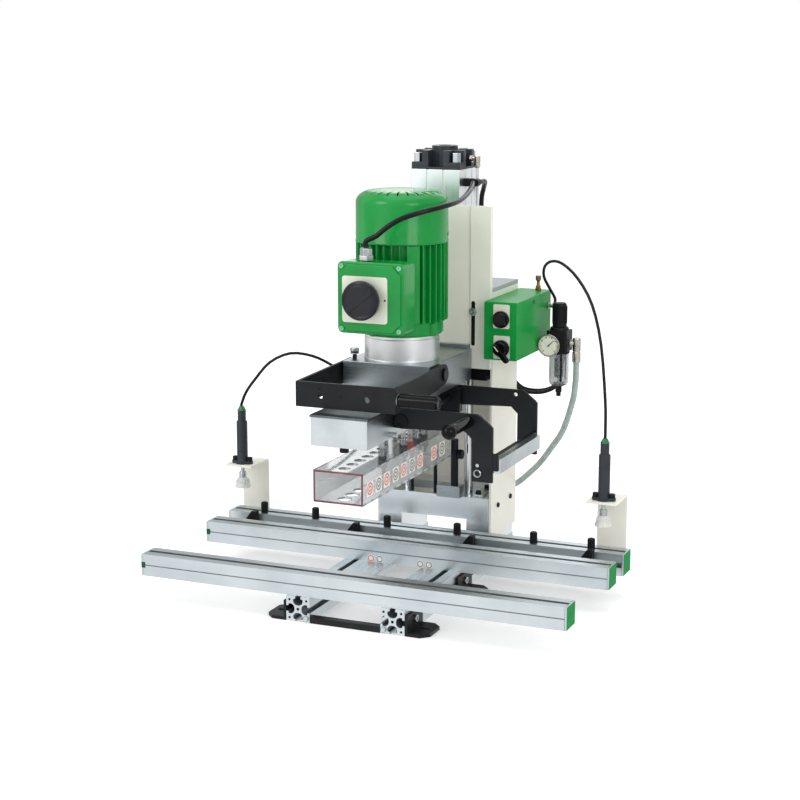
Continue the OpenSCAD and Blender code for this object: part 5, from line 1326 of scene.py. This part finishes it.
def makeRegulator():
    x, y, half, (low, high), r, top = (regulator[key] for key in ("x", "y", "half", "z", "knobRadius",
            "knobTop"))
    body = Shape("blackNylon")
    body.add(pull(roundedRect((x - half, x + half), (y - half, y + half), 4), "z", (low + 5, high - 6)), 0.8)
    body.add(turned([(half - 0.4, low), (half - 0.4, low + 6)], (x, y, 0), sides=64), 0.6)
    body.add(turned([(half - 2, -7), (half - 3, -1.5), (half - 4, 0)], (x, y, high), sides=64), 0.4)
    body.add(rod((179, y, 432), (193, y, 432), 8), 0.4, "nickelPlate")
    body.finish("regulatorBody", "frame", ["regulator_body"])

    knob = Shape("blackNylon")
    knob.add(turned([(r - 1.2, high + 0.5), (r - 0.9, high + 3), (r - 1.1, top - 5), (r - 2.6, top - 1),
            (r - 4.5, top)], (x, y, 0), sides=72), 0.3)
    knob.add(ringOf(26, r - 0.9, (1.6, 1.5, 32), taper=0.4), 0.2, place=spot(x, y, (high + top) / 2))
    knob.add(rod((x, y, high - 18), (x, y, high + 1), 4.8), finish="zincPlate")
    knob.finish("regulatorKnob", "regulator_control", ["regulator_knob"])

    foot, bowl = regulator["bowlFoot"], regulator["bowl"]
    deep = low - foot
    wall = [(9, 0), (bowl - 4, 0), (bowl - 1.6, 3), (bowl - 0.6, 8), (bowl - 0.4, deep), (bowl - 2.6, deep),
            (bowl - 2.8, 8.5), (bowl - 5, 3.5), (9, 2.2)]
    Shape("clearPolycarbonate").add(turned(wall, (x, y, foot), sides=64, closed=True)).finish("filterBowl",
            "frame")
    inner = Shape("blackNylon")
    for profile in ([(7.4, 14), (8.6, 16), (8.6, deep - 10), (6, deep - 9), (6, deep - 4), (10, deep - 3),
            (10, deep)], [(4.4, -22), (4.4, -15), (6, -14), (6, -4), (9.5, -2), (9.5, 4)]):
        inner.add(turned(profile, (x, y, foot)), 0.3)
    for side in (0, 1, 2):  # ribs of the guard round the bowl
        inner.add(block((bowl - 1.4, bowl), (-2, 2), (foot + 8, low + 1)), 0.3,
                place=spot(x, y, 0, 120 * side + 60))
    inner.finish("filterElement", "frame")


def makeGauge():
    x, z, front, back, r, ticks, long = (gauge[key] for key in (
        "x", "z", "front", "back", "radius", "ticks", "needle"))
    case = [(r - 1.5, 0), (r, 1.5), (r, 10.4), (r - 0.9, 12), (r - 2.5, 12), (r - 2.9, 9)]
    Shape("nickelPlate").add(turned(case, (x, back, z), (0, -1, 0), 72), 0.25).finish("gaugeCase", "frame")
    card = Shape("dialCard").add(rod((x, front + 3.6, z), (x, front + 2.9, z), r - 2.9, 64))
    for count, radius, size in ((ticks, r - 5.2, (2.4, 0.6, 0.2)), (ticks // 4 + 1, r - 6, (4, 1, 0.22))):
        card.add(ringOf(count, radius, size, -45, 270 / (count - 1)), finish="blackInk",
                place=spot(x, front + 2.85, z, 90, "X"))
    card.finish("gaugeDial", "frame", even=False)
    hand = Shape("blackInk")
    hand.add(pull([(-3.6, -0.7), (0, -0.75), (long - 2.6, -0.3), (long - 2, 0), (long - 2.6, 0.3), (0, 0.75),
            (-3.6, 0.7)], "y", (0, 0.5)), place=spot(x, front + 1.6, z, -45, "Y"))
    hand.add(rod((x, front + 1.2, z), (x, front + 8, z), 1.5, 24), 0.2)
    hand.finish("gaugeNeedle", "needle", ["gauge_needle"])


makeRegulator()
makeGauge()
print("stage: controls and regulator")

# Hold-downs: bent bracket, cylinder with its screws, cone cap and clear pad

holds = {"places": (-366, 359), "y": 321, "half": 27.5, "sheet": 4.5, "foot": 49, "top": 185,
         "back": 379.5, "front": 304, "bend": 6, "screwsApart": 15, "pad": 138}


def makeHold(side, x):
    y, half, sheet, top, outer, bend, base, front = (
        holds[key] for key in ("y", "half", "sheet", "top", "back", "bend", "foot", "front"))
    u, v = outer - bend, top - bend
    outline = [(outer, base), (outer, v)] + arc(u, v, bend, (15, 30, 45, 60, 75))
    outline += [(u, top), (front, top), (front, top - sheet), (u, top - sheet)]
    outline += arc(u, v, bend - sheet, (60, 30)) + [(outer - sheet, v), (outer - sheet, base)]
    bracket = Shape("creamPowderCoat").add(pull(outline, "x", (x - half, x + half)), 0.6)
    bracket.finish(side + "HoldBracket", "frame", ["hold_brackets"])

    body, apart, at = Shape("blackAnodised"), holds["screwsApart"], (x, y, top)
    flange = arc(x + apart, y, 7, range(-80, 81, 20)) + arc(x, y, 14, range(40, 141, 10)) \
        + arc(x - apart, y, 7, range(100, 261, 20)) + arc(x, y, 14, range(220, 321, 10))
    body.add(pull(flange, "z", (top, top + 6)), 0.8)
    body.add(turned([(12.4, 5), (10.5, 8), (10.5, 82), (9.6, 84), (8, 84), (8, 103), (7.2, 104)], at,
            sides=56), 0.2)
    body.add(screws([(x - apart, y, top + 6), (x + apart, y, top + 6)], (0, 0, 1), 5.8, 7), 0.5, "blackOxide")
    body.finish(side + "HoldBody", "frame", ["hold_bodies"])
    cap = [(8.4, 104), (8.4, 105.4), (7.4, 106.6), (4.6, 112), (4.2, 113)]
    Shape("greenTranslucent").add(turned(cap, at), 0.3).finish(side + "HoldCap", "frame")

    foot = holds["pad"]
    disk = Shape("frostedPad").add(turned([(11.6, 3), (14.9, 0), (15.5, 0.6), (15.2, 2.4), (13.2, 8),
            (12.4, 9), (12.6, 10.4), (10.8, 16), (8, 19), (7, 19.5)], (x, y, foot)))
    disk.add(ringOf(16, 10.6, (5, 1.1, 11), taper=0.6), 0.3, place=spot(x, y, foot + 9))
    disk.finish(side + "Pad", "pad_" + side, [side + "_pad"])
    stem = [(6, 17), (7, 19), (7, 29), (5.6, 31), (4.6, 31), (4, 33), (4, 117)]
    Shape("zincPlate").add(turned(stem, (x, y, foot)), 0.3).finish(side + "PadRod", "pad_" + side)


for side, x in zip(("left", "right"), holds["places"]):
    makeHold(side, x)
print("stage: hold-downs")
